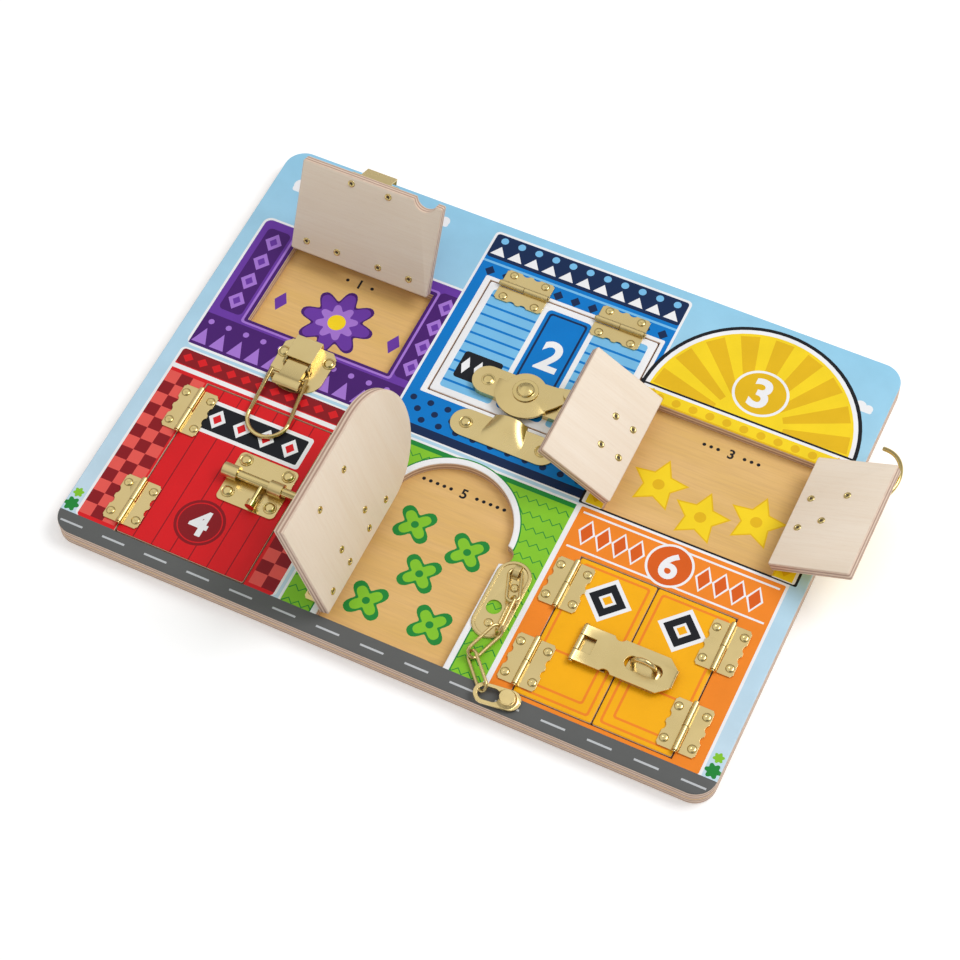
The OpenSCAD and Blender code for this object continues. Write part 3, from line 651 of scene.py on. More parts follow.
@cache
def plywood():
    """Bare plywood: veneer grain on the faces, and pale and dark layers along the edges."""
    wood = bpy.context.scene.busyboard_wood
    material, nodes, finish = new_material("plywood")
    place = nodes.layer("sheet_place")["Vector"]
    depth = nodes.layer("ply_depth")["Fac"]
    wander = nodes.noise(nodes.stretched(place, (40, 40, 8)), 3.0, 2.0)
    shifted = nodes.maths("ADD", depth, nodes.ranged(wander, -WANDER, WANDER))
    held = nodes.node("ShaderNodeClamp", {"Value": shifted, "Min": HELD, "Max": PLY_LAYERS - HELD})
    wave = nodes.maths("PINGPONG", nodes.maths("SUBTRACT", held.outputs[0], 0.5), 1.0)
    fibre = nodes.noise(nodes.stretched(place, (90, 90, 900)), 3.0, 5.0, 0.65)
    dark = nodes.ranged(wave, 0.0, 1.0, 0.42, 0.6)
    layer = nodes.mixed(dark, tuple(wood.edge_pale), tuple(wood.edge_dark))
    layer = nodes.mixed(nodes.ranged(fibre, 0.0, 0.5, 0.35, 0.8), layer, END_FIBRE)
    streak = nodes.noise(nodes.stretched(place, (7, 190, 30)), 4.0, 8.0, 0.62)
    broad = nodes.noise(nodes.stretched(place, (3, 26, 8)), 3.0)
    pore = nodes.noise(nodes.stretched(place, (60, 900, 100)), 3.0, 2.0)
    face = nodes.mixed(nodes.ranged(streak, 0.0, 0.75, 0.42, 0.78), tuple(wood.face), tuple(wood.grain))
    face = nodes.mixed(nodes.ranged(broad, 0.0, 0.35, 0.4, 0.75), face, HEARTWOOD)
    face = nodes.mixed(nodes.ranged(pore, 0.0, 0.25, 0.6, 0.85), face, PORE)
    top = nodes.ranged(depth, 0.0, 1.0, PLY_LAYERS - SKIN, PLY_LAYERS)
    back = nodes.ranged(depth, 1.0, 0.0, 0.0, SKIN)
    finish(
        Base_Color=nodes.mixed(nodes.maths("MAXIMUM", top, back), layer, face),
        Roughness=nodes.ranged(streak, 0.5, 0.66, 0.3, 0.7),
        Normal=nodes.bumped(nodes.mixed(0.5, streak, fibre), WOOD_RELIEF),
    )
    return material


def brass(name, tone, rough):
    """Polished brass plating with faint drawing marks, fingerprints and a little colour drift."""
    material, nodes, finish = new_material(name)
    place = nodes.node("ShaderNodeTexCoord").outputs["Object"]
    deep = tuple(c * s for c, s in zip(tone, BRASS_DRIFT)) + (1.0,)
    drift = nodes.ranged(nodes.noise(place, 45.0), 0.0, 1.0, 0.35, 0.7)
    brush = nodes.noise(nodes.stretched(place, (30, 450, 200)), 2.0, 1.0)
    dent = nodes.noise(place, 260.0, 1.0)
    finish(
        Base_Color=nodes.mixed(drift, tone, deep),
        Metallic=1.0,
        Roughness=nodes.ranged(nodes.noise(place, 70.0, 2.0), *(rough * s for s in BRASS_SMEAR), 0.3, 0.7),
        Normal=nodes.bumped(nodes.mixed(0.12, dent, brush), BRASS_RELIEF, BRASS_EDGE),
    )
    return material


@cache
def plate_brass():
    return brass("plate_brass", tuple(bpy.context.scene.busyboard_brass.plate), PLATE_ROUGHNESS)


@cache
def turned_brass():
    return brass("turned_brass", tuple(bpy.context.scene.busyboard_brass.wire), WIRE_ROUGHNESS)


@cache
def rivet_bore():
    """Painted shade inside a rivet's hollow tail, mottled between two dark browns."""
    material, nodes, finish = new_material("rivet_bore")
    shade_mottle = nodes.noise(nodes.node("ShaderNodeTexCoord").outputs["Object"], 900.0)
    finish(Base_Color=nodes.mixed(shade_mottle, *BORE_SHADE), Roughness=0.6)
    return material


# ---- doors in place ----
def hinged(name):
    """The movement from a closed door to where it stands, in metres."""
    if name not in HINGES:
        return Matrix.Identity(4)
    axis, pivot, way = HINGES[name]
    turn = Matrix.Rotation(way * getattr(bpy.context.scene.busyboard_angles, name), 4, axis)
    move = Matrix.Translation(Vector(pivot) * MM)
    return move @ turn @ move.inverted()


# ---- the printed design: plain fields of colour with geometric motifs ----
def row(start, step, count):
    return [start + step * i for i in range(count)]


def field_one(p):
    """Purple field round flap 1."""
    p.box("white", -188, -49, -8, 93, 5)
    p.box("purple", -186.5, -50.5, -6.5, 91.5, 4)
    p.box("purple_dark", -186.5, -50.5, -6.5, 17)
    for x in row(-181, 11.4, 12):
        p.area("purple_light", [(x - 4.6, -4.5), (x + 4.6, -4.5), (x, 6.5)])
        p.disc("purple_light", x, 11.5, 1.8, steps=20)
    for side in (-175, -61):
        p.box("purple_dark", side - 7.5, side + 7.5, 22, 86, 3)
        for y in row(31, 15.3, 4):
            p.diamond("purple_light", side, y, 5.4, 6.6)
            p.diamond("purple", side, y, 2.6, 3.2)
    p.box("purple_light", -166, -68.5, 18.5, 85.7, 2)
    p.box("purple_dark", -164.6, -69.9, 19.9, 84.3, 1.5)
    p.inset("purple", WELLS[1], 0)
    p.inset("purple_light", WELLS[1], 5, 4)
    p.inset("purple_dark", WELLS[1], 7, 3)
    p.disc("white", -117.2, 54, 15)
    p.number("purple_dark", "1", -117.2, 54, 18)


def field_two(p):
    """Blue field round flap 2."""
    p.box("white", -58, 68, -9, 140, 3)
    p.box("blue", -56.5, 66.5, -8, 138.5, 2)
    p.box("navy", -56.5, 66.5, 121, 138.5, 2)
    for x in row(-50.4, 11.06, 11):
        p.disc("blue_light", x, 134.6, 2.3, steps=20)
        p.area("white", [(x - 4.6, 123.5), (x + 4.6, 123.5), (x, 130.2)])
    p.box("blue_light", -56.5, 66.5, 117.2, 118.7)
    for x in row(-49.5, 11, 11):
        p.diamond("navy", x, 111.8, 3.2, 3.6)
    p.box("navy", -56.5, 66.5, -8, -2.5)
    for i, y in enumerate(row(1.5, 6.2, 3)):
        for x in row(-51 + 5.4 * (i % 2), 10.8, 12 - i % 2):
            p.disc("navy", x, y, 2.0, steps=20)
    x0, x1, y0, y1 = WELLS[2]
    p.box("white", x0 - 3.4, x1 + 2.4, y0 - 2.6, y1 + 2.2, 1)
    p.inset("night", WELLS[2], -0.4)
    p.inset("white", WELLS[2], 0)
    for left, right in ((x0 + 5, -9.5), (24.5, x1 - 5)):
        p.box("blue_light", left, right, y0 + 5, y1 - 5, 2)
        for y in row(y0 + 9.5, 7.1, 10):
            p.box("blue", left, right, y, y + 1.5)
        p.box("night", left + 4, right - 4, y0 + 14, y0 + 33, 2)
        for k in (0.25, 0.5, 0.75):
            p.diamond("white", left + (right - left) * k, y0 + 23.5, 2.6, 6)
    p.box("blue", -6.5, 21.5, y0 + 5, y1 - 5, 3)
    p.box("navy", -4.5, 19.5, y0 + 7, y1 - 7, 2)
    p.box("blue", -3.2, 18.2, y0 + 8.3, y1 - 8.3, 1.5)
    p.number("white", "2", 8.3, 71, 21)


def field_three(p):
    """Yellow field round doors 3, with rays over it."""
    p.disc("night", 127, 75, 65, 67, 72)
    p.disc("white", 127, 75, 62.8, 64.8, 72)
    p.disc("yellow", 127, 75, 60.2, 62.2, 72)
    for i in range(9):
        a, b = math.radians(i * 20 + 4.5), math.radians(i * 20 + 15.5)
        corners = ((21, a), (58.8, a), (58.8, b), (21, b))
        p.area("gold", [(127 + r * math.cos(t), 75 + r * 1.03 * math.sin(t)) for r, t in corners])
    p.disc("white", 127, 97.5, 16.4, 15.6)
    p.disc("gold", 127, 97.5, 14.8, 14)
    p.number("white", "3", 127, 97.5, 20.5)
    p.box("night", 62.5, 191.5, -10.5, 78.5, 1)
    p.box("white", 64, 190, -9.6, 77.2, 1)
    p.box("yellow", 66, 188.4, -9, 75.4)
    for side in (70.8, 182.8):
        for y in row(-3, 9.4, 9):
            p.diamond("gold", side, y, 3.3, 4)
    for x in row(76, 10.3, 11):
        p.disc("gold", x, 71.3, 2.6, steps=20)
    x0, x1, y0, y1 = WELLS[3]
    p.box("gold", x0 - 1.2, x1 + 1.2, y0 - 0.2, y1 + 1.2)
    p.inset("yellow", WELLS[3], 0)
    middle = (x0 + x1) / 2
    for left, right in ((x0 + 4, middle - 4), (middle + 4, x1 - 4)):
        p.box("gold", left, right, y0 + 4, y1 - 4, 3)
        p.box("yellow", left + 2, right - 2, y0 + 6, y1 - 6, 2)
        for y in row(y0 + 11, 10.8, 6):
            p.diamond("gold", (left + right) / 2, y, 12, 3.6)


def field_four(p):
    """Red field round door 4."""
    p.box("white", -188, -62, -134, -10, 3)
    p.box("red", -186.5, -63.5, -134, -11, 2)
    p.box("red_dark", -186.5, -63.5, -21.5, -11, 2)
    for x in row(-181, 9.4, 13):
        p.diamond("red", x, -16.2, 3.4, 3.2)
    p.box("white", -186.5, -63.5, -25.2, -22.2)
    for i, y in enumerate(row(-131.6, 8.0, 13)):
        for width, places in ((7.6, (-186.5, -178.9, -171.3)), (7.9, (-79.4, -71.5))):
            for j, x in enumerate(places):
                p.box("red_dark" if (i + j) % 2 else "red_light", x, x + width, y, y + 8.0)
    x0, x1, y0, y1 = WELLS[4]
    p.inset("night", WELLS[4], -0.4)
    p.inset("red", WELLS[4], 0)
    for x in row(x0 + 11.6, 11.6, 6):
        p.box("red_dark", x - 0.3, x + 0.3, y0, y1)
    p.box("white", x0 + 7, x1 - 7, -57.5, -35.5, 2)
    p.box("night", x0 + 9.4, x1 - 9.4, -55.1, -37.9, 1)
    for x in row(x0 + 17.2, 15.5, 4):
        p.diamond("white", x, -46.5, 5.4, 6.6)
        p.diamond("red", x, -46.5, 2.9, 3.6)
    p.disc("red_dark", -121.5, -110, 14.6)
    p.disc("red", -121.5, -110, 12.9)
    p.disc("red_dark", -121.5, -110, 12.2)
    p.number("white", "4", -121.5, -110, 16.5)


def arch(p, ink, out, foot):
    """An arched shape that stands out from opening 5, with its foot at a height of its own."""
    x0, x1, _, spring = WELLS[5]
    reach = (x1 - x0) / 2 + out
    curve = arc((x0 + x1) / 2, spring, reach, reach, 0, 180, 48)
    p.area(ink, [(x0 - out, foot), (x1 + out, foot)] + curve)


def field_five(p):
    """Green field round door 5."""
    p.box("white", -60, 64, -134, -11)
    p.box("green", -58.6, 62.6, -134, -12.4)
    for y in row(-20.4, -8.6, 14):
        wave = [(-58 + 3.0 * i, y + (1.5 if i % 2 else -1.5)) for i in range(41)]
        p.line("green_dark", wave, 0.75)
    p.box("green_dark", -58.6, 62.6, -15.4, -12.4)
    x0, x1, y0, _ = WELLS[5]
    frame_shapes = (("green_dark", 4.4, -0.5), ("white", 3.6, -0.5))
    door_shapes = (("green", 0, 0), ("green_dark", -5, 5), ("green", -7, 7))
    for ink, out, foot in frame_shapes + door_shapes:
        arch(p, ink, out, y0 + foot)
    p.disc("white", (x0 + x1) / 2, -48, 13)
    p.number("green_dark", "5", (x0 + x1) / 2, -48, 16)


def field_six(p):
    """Orange field round doors 6."""
    p.box("white", 64, 188, -134, -10.5)
    p.box("orange", 65.6, 186.4, -134, -12, 1)
    for y in (-15.2, -38.2):
        p.box("white", 68, 184, y - 0.6, y + 0.6)
    for x in row(75, 9.9, 11):
        if abs(x - 124.4) > 14:
            p.diamond("white", x, -26.7, 5, 8.6)
            p.diamond("orange_dark", x, -26.7, 3.7, 6.9)
    p.disc("white", 124.4, -26.7, 13.6)
    p.disc("orange_dark", 124.4, -26.7, 12.2)
    p.number("white", "6", 124.4, -26.7, 17)
    x0, x1, y0, y1 = WELLS[6]
    p.inset("night", WELLS[6], -0.4)
    p.inset("amber", WELLS[6], 0)
    middle = (x0 + x1) / 2
    for left, right in ((x0, middle), (middle, x1)):
        p.inset("orange", (left, right, y0, y1), 3.2, 2)
        p.inset("amber", (left, right, y0, y1), 4.6, 1.2)
        p.box("orange", left + 8.5, right - 8.5, y0 + 8.5, y0 + 33, 2)
        p.box("amber", left + 9.9, right - 9.9, y0 + 9.9, y0 + 31.6, 1)
    for x in (102.5, 146):
        p.diamond("white", x, -60.4, 14.2)
        p.diamond("night", x, -60.4, 11)
        p.diamond("white", x, -60.4, 5.2)
        p.diamond("amber", x, -60.4, 3.2)


def street_print():
    """The whole printed face, cut later into the board and its doors."""
    p = Print("sky")
    for x, y, s in ((-171, 120, 1.0), (-96, 132, 0.7), (181, 112, 0.55)):
        for dx, r in ((-9, 4.4), (0, 6.4), (9, 4.8)):
            p.disc("white", x + dx * s, y + r * 0.4 * s, r * s)
        p.box("white", x - 13 * s, x + 13.5 * s, y - 3.4 * s, y + 1.5 * s, 2 * s)
    for field in (field_one, field_four, field_five, field_two, field_six, field_three):
        field(p)
    p.box("grey", -200, 200, -150, -133.9)
    for x in row(-186, 26.6, 15):
        p.box("grey_light", x - 7, x + 7, -140.6, -139.4)
    for x in (-192.5, 192.5):
        p.flower("green_dark", x, -129, 4.6, 6, 0.3)
        p.flower("green", x, -121, 3.2, 6, 0.3, 20)
    return p


def well_print():
    """The stained floors of the wells, each with as many large plain shapes as its number."""
    p = Print("tan")
    p.flower("purple_dark", -117, 45, 23, 8, 0.34)
    p.flower("purple", -117, 45, 21, 8, 0.36)
    p.flower("purple_light", -117, 45, 12.5, 8, 0.34, 22.5)
    p.disc("yellow", -117, 45, 5.4)
    for x in (-154, -80):
        p.diamond("purple", x, 45, 4, 7)
    for x, y in ((-20, 60), (34, 60)):
        p.star("navy", x, y, 21, 13, 8)
        p.star("blue", x, y, 19, 12, 8)
        p.disc("blue_light", x, y, 6.4)
    for x, y in ((97, 22), (126.3, 12), (155.6, 22)):
        p.star("gold", x, y, 17.4, 8.8, 5)
        p.star("yellow", x, y, 15.4, 7.8, 5)
        p.disc("gold", x, y, 3.4)
    for x, y in ((-142, -55), (-102, -55), (-142, -99), (-102, -99)):
        p.flower("red_dark", x, y, 14.5, 5, 0.22)
        p.flower("red", x, y, 13, 5, 0.22)
        p.disc("red_light", x, y, 4.4)
    for x, y in ((-15, -58), (19, -62), (1, -85), (-18, -112), (20, -111)):
        p.flower("green_dark", x, y, 13, 4, 0.5, 45)
        p.flower("green", x, y, 9.5, 4, 0.52, 45)
        p.disc("green_dark", x, y, 2.2)
    for i in range(6):
        x, y = 100.5 + 48 * (i % 2), -60 - 25 * (i // 2)
        p.disc("orange_dark", x, y, 10.6)
        p.disc("orange", x, y, 9.2)
        p.star("amber", x, y, 6.5, 3.2, 8)
    labels = {1: (-117, 75), 2: (7.5, 98), 3: (126.3, 57), 4: (-122, -33), 5: (1.2, -29), 6: (124.4, -48)}
    for digit, (x, y) in labels.items():
        p.number("night", str(digit), x, y, 6.4)
        for side in (-1, 1):
            for k in range(digit):
                p.disc("night", x + side * (8 + 4.2 * k), y, 1.1, steps=14)
    return p


# ---- outlines of sheets, as functions of an inset in millimetres ----
def board_outline(inset):
    x0, x1, y0, y1 = BOARD
    return rounded_box(x0 + inset, x1 - inset, y0 + inset, y1 - inset, CORNER - inset, 14)


def door_box(x0, x1, y0, y1, inset):
    """A door's outline, this far inside the given sides."""
    corner = max(DOOR_CORNER - inset, SMALLEST_CORNER)
    return rounded_box(x0 + inset, x1 - inset, y0 + inset, y1 - inset, corner, 4)


def door_outline(well, left=None, right=None):
    """A door that fills its opening, or the part of it to the right of left or to the left of right."""
    x0, x1, y0, y1 = WELLS[well]
    left = x0 + GAP if left is None else left
    right = x1 - GAP if right is None else right
    return lambda inset: door_box(left, right, y0 + GAP, y1 - GAP, inset)


def opening(well):
    x0, x1, y0, y1 = WELLS[well]
    return lambda inset: rounded_box(x0 + inset, x1 - inset, y0 + inset, y1 - inset)


# The finger notch beside the arch: how far its centre lies inside the opening and below the arch, and its
# radius. The one in flap 1: where its centre lies across, how far it lies outside the edge, and its radius.
ARCH_NOTCH = (0.5, 5, 6)
FLAP_NOTCH = (-84.0, 1.5, 7)
NOTCH_STEPS = 12


def arch_opening(inset):
    """Opening 5, with the finger notch beside its arch."""
    x0, x1, y0, spring = WELLS[5]
    r = (x1 - x0) / 2 - inset
    cx = (x0 + x1) / 2
    in_by, below, notch_r = ARCH_NOTCH
    nx, ny, nr = x1 - in_by, spring - below, notch_r - inset
    x1 -= inset
    # Where the notch meets the straight side and the arch.
    foot = ny - math.sqrt(nr * nr - (x1 - nx) ** 2)
    d = math.hypot(nx - cx, ny - spring)
    along = (r * r - nr * nr + d * d) / (2 * d)
    across = math.sqrt(r * r - along * along)
    ux, uy = (nx - cx) / d, (ny - spring) / d
    mx, my = cx + ux * along - uy * across, spring + uy * along + ux * across
    notch = arc(nx, ny, nr, nr, bearing(x1 - nx, foot - ny), bearing(mx - nx, my - ny), NOTCH_STEPS)
    curve = arc(cx, spring, r, r, bearing(mx - cx, my - spring), 180, 54)
    return [(x0 + inset, y0 + inset), (x1, y0 + inset)] + notch + curve[1:]


def arch_door(inset):
    x0, x1, y0, spring = WELLS[5]
    g = GAP + inset
    x0, x1, r = x0 + g, x1 - g, (x1 - x0) / 2 - g
    curve = arc((x0 + x1) / 2, spring, r, r, 0, 180, 56)
    return [(x0, y0 + g), (x1, y0 + g)] + curve[:-1] + [(x0, spring)]


def flap_one_outline(inset):
    """Flap 1 with the small finger notch in its free edge."""
    x0, x1, y0, y1 = WELLS[1]
    cx, below, notch_r = FLAP_NOTCH
    cy, r = y0 + GAP - below, notch_r + inset
    rise = y0 + GAP + inset - cy
    half = math.sqrt(r * r - rise**2)
    bite = arc(cx, cy, r, r, bearing(-half, rise), bearing(half, rise), NOTCH_STEPS)
    return door_box(x0 + GAP, x1 - GAP, y0 + GAP, y1 - GAP, inset) + bite


def add_sheet(name, body, outline, holes, drawing, z0, z1, slot_name, *nodes):
    sheet = printed_sheet(name, outline, holes, drawing, z0, z1, hinged(body))
    finish_piece(sheet, body, slot_name, *nodes, crease=SHEET_CREASE)


# ---- metal parts ----
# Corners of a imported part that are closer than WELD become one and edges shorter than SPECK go, in metres.
# Faces become one where they turn by less than FLAT, in degrees.
WELD = 3e-5
SPECK = 1e-5
FLAT = 1.2
# Edges sharper than this, in degrees, are rounded.
ROUNDED_ABOVE = 34
# In metres, and wider than any edge has room for, so the rounding goes as far as it can.
ROUND_END = 0.1


def metal_part(node_name, material, edge=None):
    """A packed metal part with its flat faces joined, its edges rounded and its finish on."""
    width = bpy.context.scene.busyboard_brass.edge if edge is None else edge
    bm = bmesh.new()
    bm.from_mesh(frame["nodes"][node_name].data)
    bmesh.ops.remove_doubles(bm, verts=bm.verts, dist=WELD)
    bmesh.ops.dissolve_degenerate(bm, dist=SPECK, edges=bm.edges)
    bmesh.ops.dissolve_limit(bm, angle_limit=math.radians(FLAT), verts=bm.verts, edges=bm.edges)
    sharp = [e for e in bm.edges if e.is_manifold and e.calc_face_angle(0) > math.radians(ROUNDED_ABOVE)]
    if width > 0 and sharp:
        bmesh.ops.bevel(
            bm,
            geom=sharp,
            offset=width,
            segments=1,
            profile=0.5,
            affect="EDGES",
            clamp_overlap=True,
            loop_slide=True,
        )
    mesh = mesh_from(bm, node_name + "_finished")
    mesh.materials.append(material)
    slot_name = "brass_rivet" if material is turned_brass() else "brass_plate"
    part = placed(node_name + "_finished", mesh)
    finish_piece(part, BODY_OF[node_name], slot_name, node_name, crease=METAL_CREASE)


# Sections of the sash keeper's pressed hood, from the plate to its mouth: y, half width, rise.
HOOD = (
    (1.8, 15.0, 0.02),
    (4.0, 15.0, 0.5),
    (7.0, 14.4, 1.3),
    (10.0, 13.5, 2.1),
    (13.0, 12.5, 2.9),
    (16.0, 11.6, 3.6),
    (18.7, 10.8, 4.1),
    (21.4, 10.2, 4.3),
)
HOOD_X = 6.9
HOOD_ROOT = 0.4
HOOD_STEPS = 24
HOOD_THINNEST = 0.1
HOOD_FULLNESS = 2.4
# The keeper's plate: the middle's x and y, how far the centres of its ends lie from it, and their radius.
KEEPER = (7.1, 10.2, 23.4, 9.0)
KEEPER_STEPS = 20


def keeper_plate(bm):
    """A flat plate with round ends and an eased top edge."""
    x, y, reach, r = KEEPER
    ends = arc(x + reach, y, r, r, -90, 90, KEEPER_STEPS) + arc(x - reach, y, r, r, 90, 270, KEEPER_STEPS)
    low = [bm.verts.new((u * MM, v * MM, TOP * MM)) for u, v in ends]
    high = [bm.verts.new((u * MM, v * MM, (TOP + LEAF) * MM)) for u, v in ends]
    bm.faces.new(high)
    bm.faces.new(low[::-1])
    rim = []
    for k in range(len(ends)):
        n = (k + 1) % len(ends)
        bm.faces.new([low[k], low[n], high[n], high[k]])
        rim.append(bm.edges.get((high[k], high[n])))
    width = bpy.context.scene.busyboard_brass.edge
    bmesh.ops.bevel(
        bm, geom=rim, offset=width, segments=2, profile=0.5, affect="EDGES", clamp_overlap=True
    )


def hood_section(bm, v, half, rise):
    """One section of the hood: its outside from right to left and its inside back again."""
    outside, inside = rise + HOOD_ROOT, max(rise + HOOD_ROOT - LEAF, HOOD_THINNEST)
    ring = []
    for w, h, order in ((half, outside, 1), (half - LEAF, inside, -1)):
        for k in range(HOOD_STEPS + 1)[::order]:
            across = math.cos(math.pi * k / HOOD_STEPS)
            z = TOP + LEAF - HOOD_ROOT + h * (1 - abs(across) ** HOOD_FULLNESS)
            ring.append(bm.verts.new(((HOOD_X + w * across) * MM, v * MM, z * MM)))
    return ring


def keeper_hood():
    """The sash lock's keeper: a flat plate with a hood that rises and narrows towards its mouth."""
    bm = bmesh.new()
    keeper_plate(bm)
    rings = [hood_section(bm, *section) for section in HOOD]
    for a, b in zip(rings, rings[1:]):
        for k in range(len(a)):
            n = (k + 1) % len(a)
            bm.faces.new([a[k], a[n], b[n], b[k]])
    for ring in (rings[0], rings[-1]):
        for k in range(HOOD_STEPS):
            bm.faces.new([ring[k], ring[k + 1], ring[-2 - k], ring[-1 - k]])
    bmesh.ops.recalc_face_normals(bm, faces=bm.faces)
    mesh = mesh_from(bm, "sash_keeper_finished")
    mesh.materials.append(plate_brass())
    finish_piece(placed("sash_keeper_finished", mesh), BODY_OF["sash_keeper"], "brass_plate", "sash_keeper")


# Corners in the same cell of this size, in metres, belong to one solid.
SAME_SPOT = 1e-6


def islands(mesh):
    """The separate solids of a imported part, each as its corners in metres."""
    spots, parent = {}, []

    def root(i):
        while parent[i] != i:
            parent[i] = parent[parent[i]]
            i = parent[i]
        return i

    index = []
    for v in mesh.vertices:
        key = tuple(round(c / SAME_SPOT) for c in v.co)
        if key not in spots:
            spots[key] = len(parent)
            parent.append(len(parent))
        index.append(spots[key])
    for f in mesh.polygons:
        ids = [index[i] for i in f.vertices]
        for other in ids[1:]:
            parent[root(ids[0])] = root(other)
    groups = {}
    for v, i in zip(mesh.vertices, index):
        groups.setdefault(root(i), []).append(v.co.copy())
    return list(groups.values())


TURNED_STEPS = 20


def turned(name, profile):
    """A closed turned solid.

    The profile runs from the top of the axis to its foot, as radius and height.
    """
    bm = bmesh.new()
    turns = [2 * math.pi * i / TURNED_STEPS for i in range(TURNED_STEPS)]
    rings = []
    for r, z in profile:
        spots = [(r * math.cos(t), r * math.sin(t), z) for t in turns] if r > 0 else [(0, 0, z)]
        rings.append([bm.verts.new(spot) for spot in spots])
    for a, b in zip(rings, rings[1:]):
        for i in range(TURNED_STEPS):
            j = (i + 1) % TURNED_STEPS
            corners = [a[i % len(a)], b[i % len(b)], b[j % len(b)], a[j % len(a)]]
            bm.faces.new(list(dict.fromkeys(corners)))
    bmesh.ops.recalc_face_normals(bm, faces=bm.faces)
    return mesh_from(bm, name)


def joined(name, parts):
    """One object from several, with their meshes together."""
    bm = bmesh.new()
    materials = []
    for part in parts:
        first = len(bm.faces)
        bm.from_mesh(part.data)
        bm.faces.ensure_lookup_table()
        for face in bm.faces[first:]:
            material = part.data.materials[face.material_index]
            if material not in materials:
                materials.append(material)
            face.material_index = materials.index(material)
    mesh = mesh_from(bm, name)
    for material in materials:
        mesh.materials.append(material)
    for part in parts:
        bpy.data.objects.remove(part)
    return placed(name, mesh)


# ---- geometry node trees ----
class Tree(Nodes):
    """A geometry node tree with named inputs, whose last steps realise the instances and set the finish."""

    def __init__(self, name, result, inputs):
        super().__init__(bpy.data.node_groups.new(name, "GeometryNodeTree"))
        self.sockets = {}
        for label, kind, default in inputs:
            item = self.tree.interface.new_socket(name=label, in_out="INPUT", socket_type="NodeSocket" + kind)
            if default is not None:
                item.default_value = default
                item.subtype = "DISTANCE"
            self.sockets[label] = item.identifier
        self.tree.interface.new_socket(name=result, in_out="OUTPUT", socket_type="NodeSocketGeometry")
        self.start = self.node("NodeGroupInput").outputs

    def end(self, shape):
        real = self.node("GeometryNodeRealizeInstances", {0: shape})
        inputs = {0: real.outputs[0], "Material": self.start["Finish"]}
        self.node("NodeGroupOutput", {0: self.node("GeometryNodeSetMaterial", inputs).outputs[0]})

    def grow(self, name, base_mesh, values):
        """Runs the tree on a mesh and returns the result as a plain mesh object."""
        carrier = placed(name + "_carrier", base_mesh)
        modifier = carrier.modifiers.new("grow", "NODES")
        modifier.node_group = self.tree
        for label, value in values.items():
            modifier[self.sockets[label]] = value
        return placed(name, plain_mesh(name, carrier))


def rivet_tree():
    """Puts a turned head or tail on every point, turned as the points say."""
    inputs = (
        ("Points", "Geometry", None),
        ("Part", "Object", None),
        ("Radius", "Float", 0.0025),
        ("Height", "Float", 0.0012),
        ("Finish", "Material", None),
    )
    tree = Tree("busyboard_rivets", "Rivets", inputs)
    start = tree.start
    part = tree.node("GeometryNodeObjectInfo", {"Object": start["Part"]})
    turn = tree.node("GeometryNodeInputNamedAttribute", {"Name": "turn"}, data_type="FLOAT_VECTOR")
    sizes = {"X": start["Radius"], "Y": start["Radius"], "Z": start["Height"]}
    setting = {
        "Points": start["Points"],
        "Instance": part.outputs["Geometry"],
        "Rotation": turn.outputs["Attribute"],
        "Scale": tree.node("ShaderNodeCombineXYZ", sizes).outputs[0],
    }
    tree.end(tree.node("GeometryNodeInstanceOnPoints", setting).outputs[0])
    return tree


# Turned sections, as shares of radius and height, from the middle of the top to the foot.
HEAD_PROFILE = (
    (0, 0.80), (0.12, 0.82), (0.22, 0.90), (0.32, 0.98), (0.46, 1.0), (0.64, 0.92),
    (0.81, 0.72), (0.93, 0.42), (1.0, 0.1), (1.0, 0.0), (0, -0.04),
)
BOSS_PROFILE = (
    (0, 0.94), (0.18, 0.98), (0.34, 1.0), (0.50, 0.93), (0.64, 0.74), (0.74, 0.48), (0.79, 0.26),
    (0.84, 0.22), (0.91, 0.32), (0.97, 0.22), (1.0, 0.06), (1.0, 0.0), (0, -0.04),
)
EYELET_PROFILE = (
    (0, 0.10), (0.40, 0.10), (0.44, 0.62), (0.54, 0.92), (0.70, 1.0),
    (0.86, 0.82), (0.97, 0.42), (1.0, 0.06), (1.0, 0.0), (0, -0.04),
)
# A dark disc in the hollow of each rolled tail: painted shade of the rivet's bore.
BORE_PROFILE = ((0, 0.22), (0.40, 0.2), (0.41, 0.12), (0, 0.06))
# Rivets of the thick pressed plates, which have a pressed ring round them.
BOLD = (
    (-116.9, -86.0), (-116.9, -63.9), (-90.3, -86.0), (-90.3, -63.9), (-16.3, 39.8),
    (30.5, 39.8), (-16.3, 10.2), (30.5, 10.2), (-132.2, 10.3), (-104.6, 13.0),
)
BOLD_REACH = 2
# Each rivet is turned this much further than the one before it, in radians.
RIVET_TURN = 0.7


def rivet_spots(node_name, back):
    """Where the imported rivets' axes stand when back has closed their door, in metres."""
    spots = []
    for corners in islands(frame["nodes"][node_name].data):
        flat = [back @ c for c in corners]
        spots.append([(min(c[k] for c in flat) + max(c[k] for c in flat)) / 2 for k in (0, 1)])
    return spots


def rivet_points(spots, z, flip, place):
    """A point for each rivet, and how far it is turned."""
    points = bpy.data.meshes.new("rivet_points")
    points.from_pydata([place @ Vector((*spot, z * MM)) for spot in spots], [], [])
    turn = points.attributes.new("turn", "FLOAT_VECTOR", "POINT")
    for i in range(len(spots)):
        spin = Matrix.Rotation(flip, 4, "X") @ Matrix.Rotation(RIVET_TURN * i, 4, "Z")
        turn.data[i].vector = (place @ spin).to_euler()
    return points


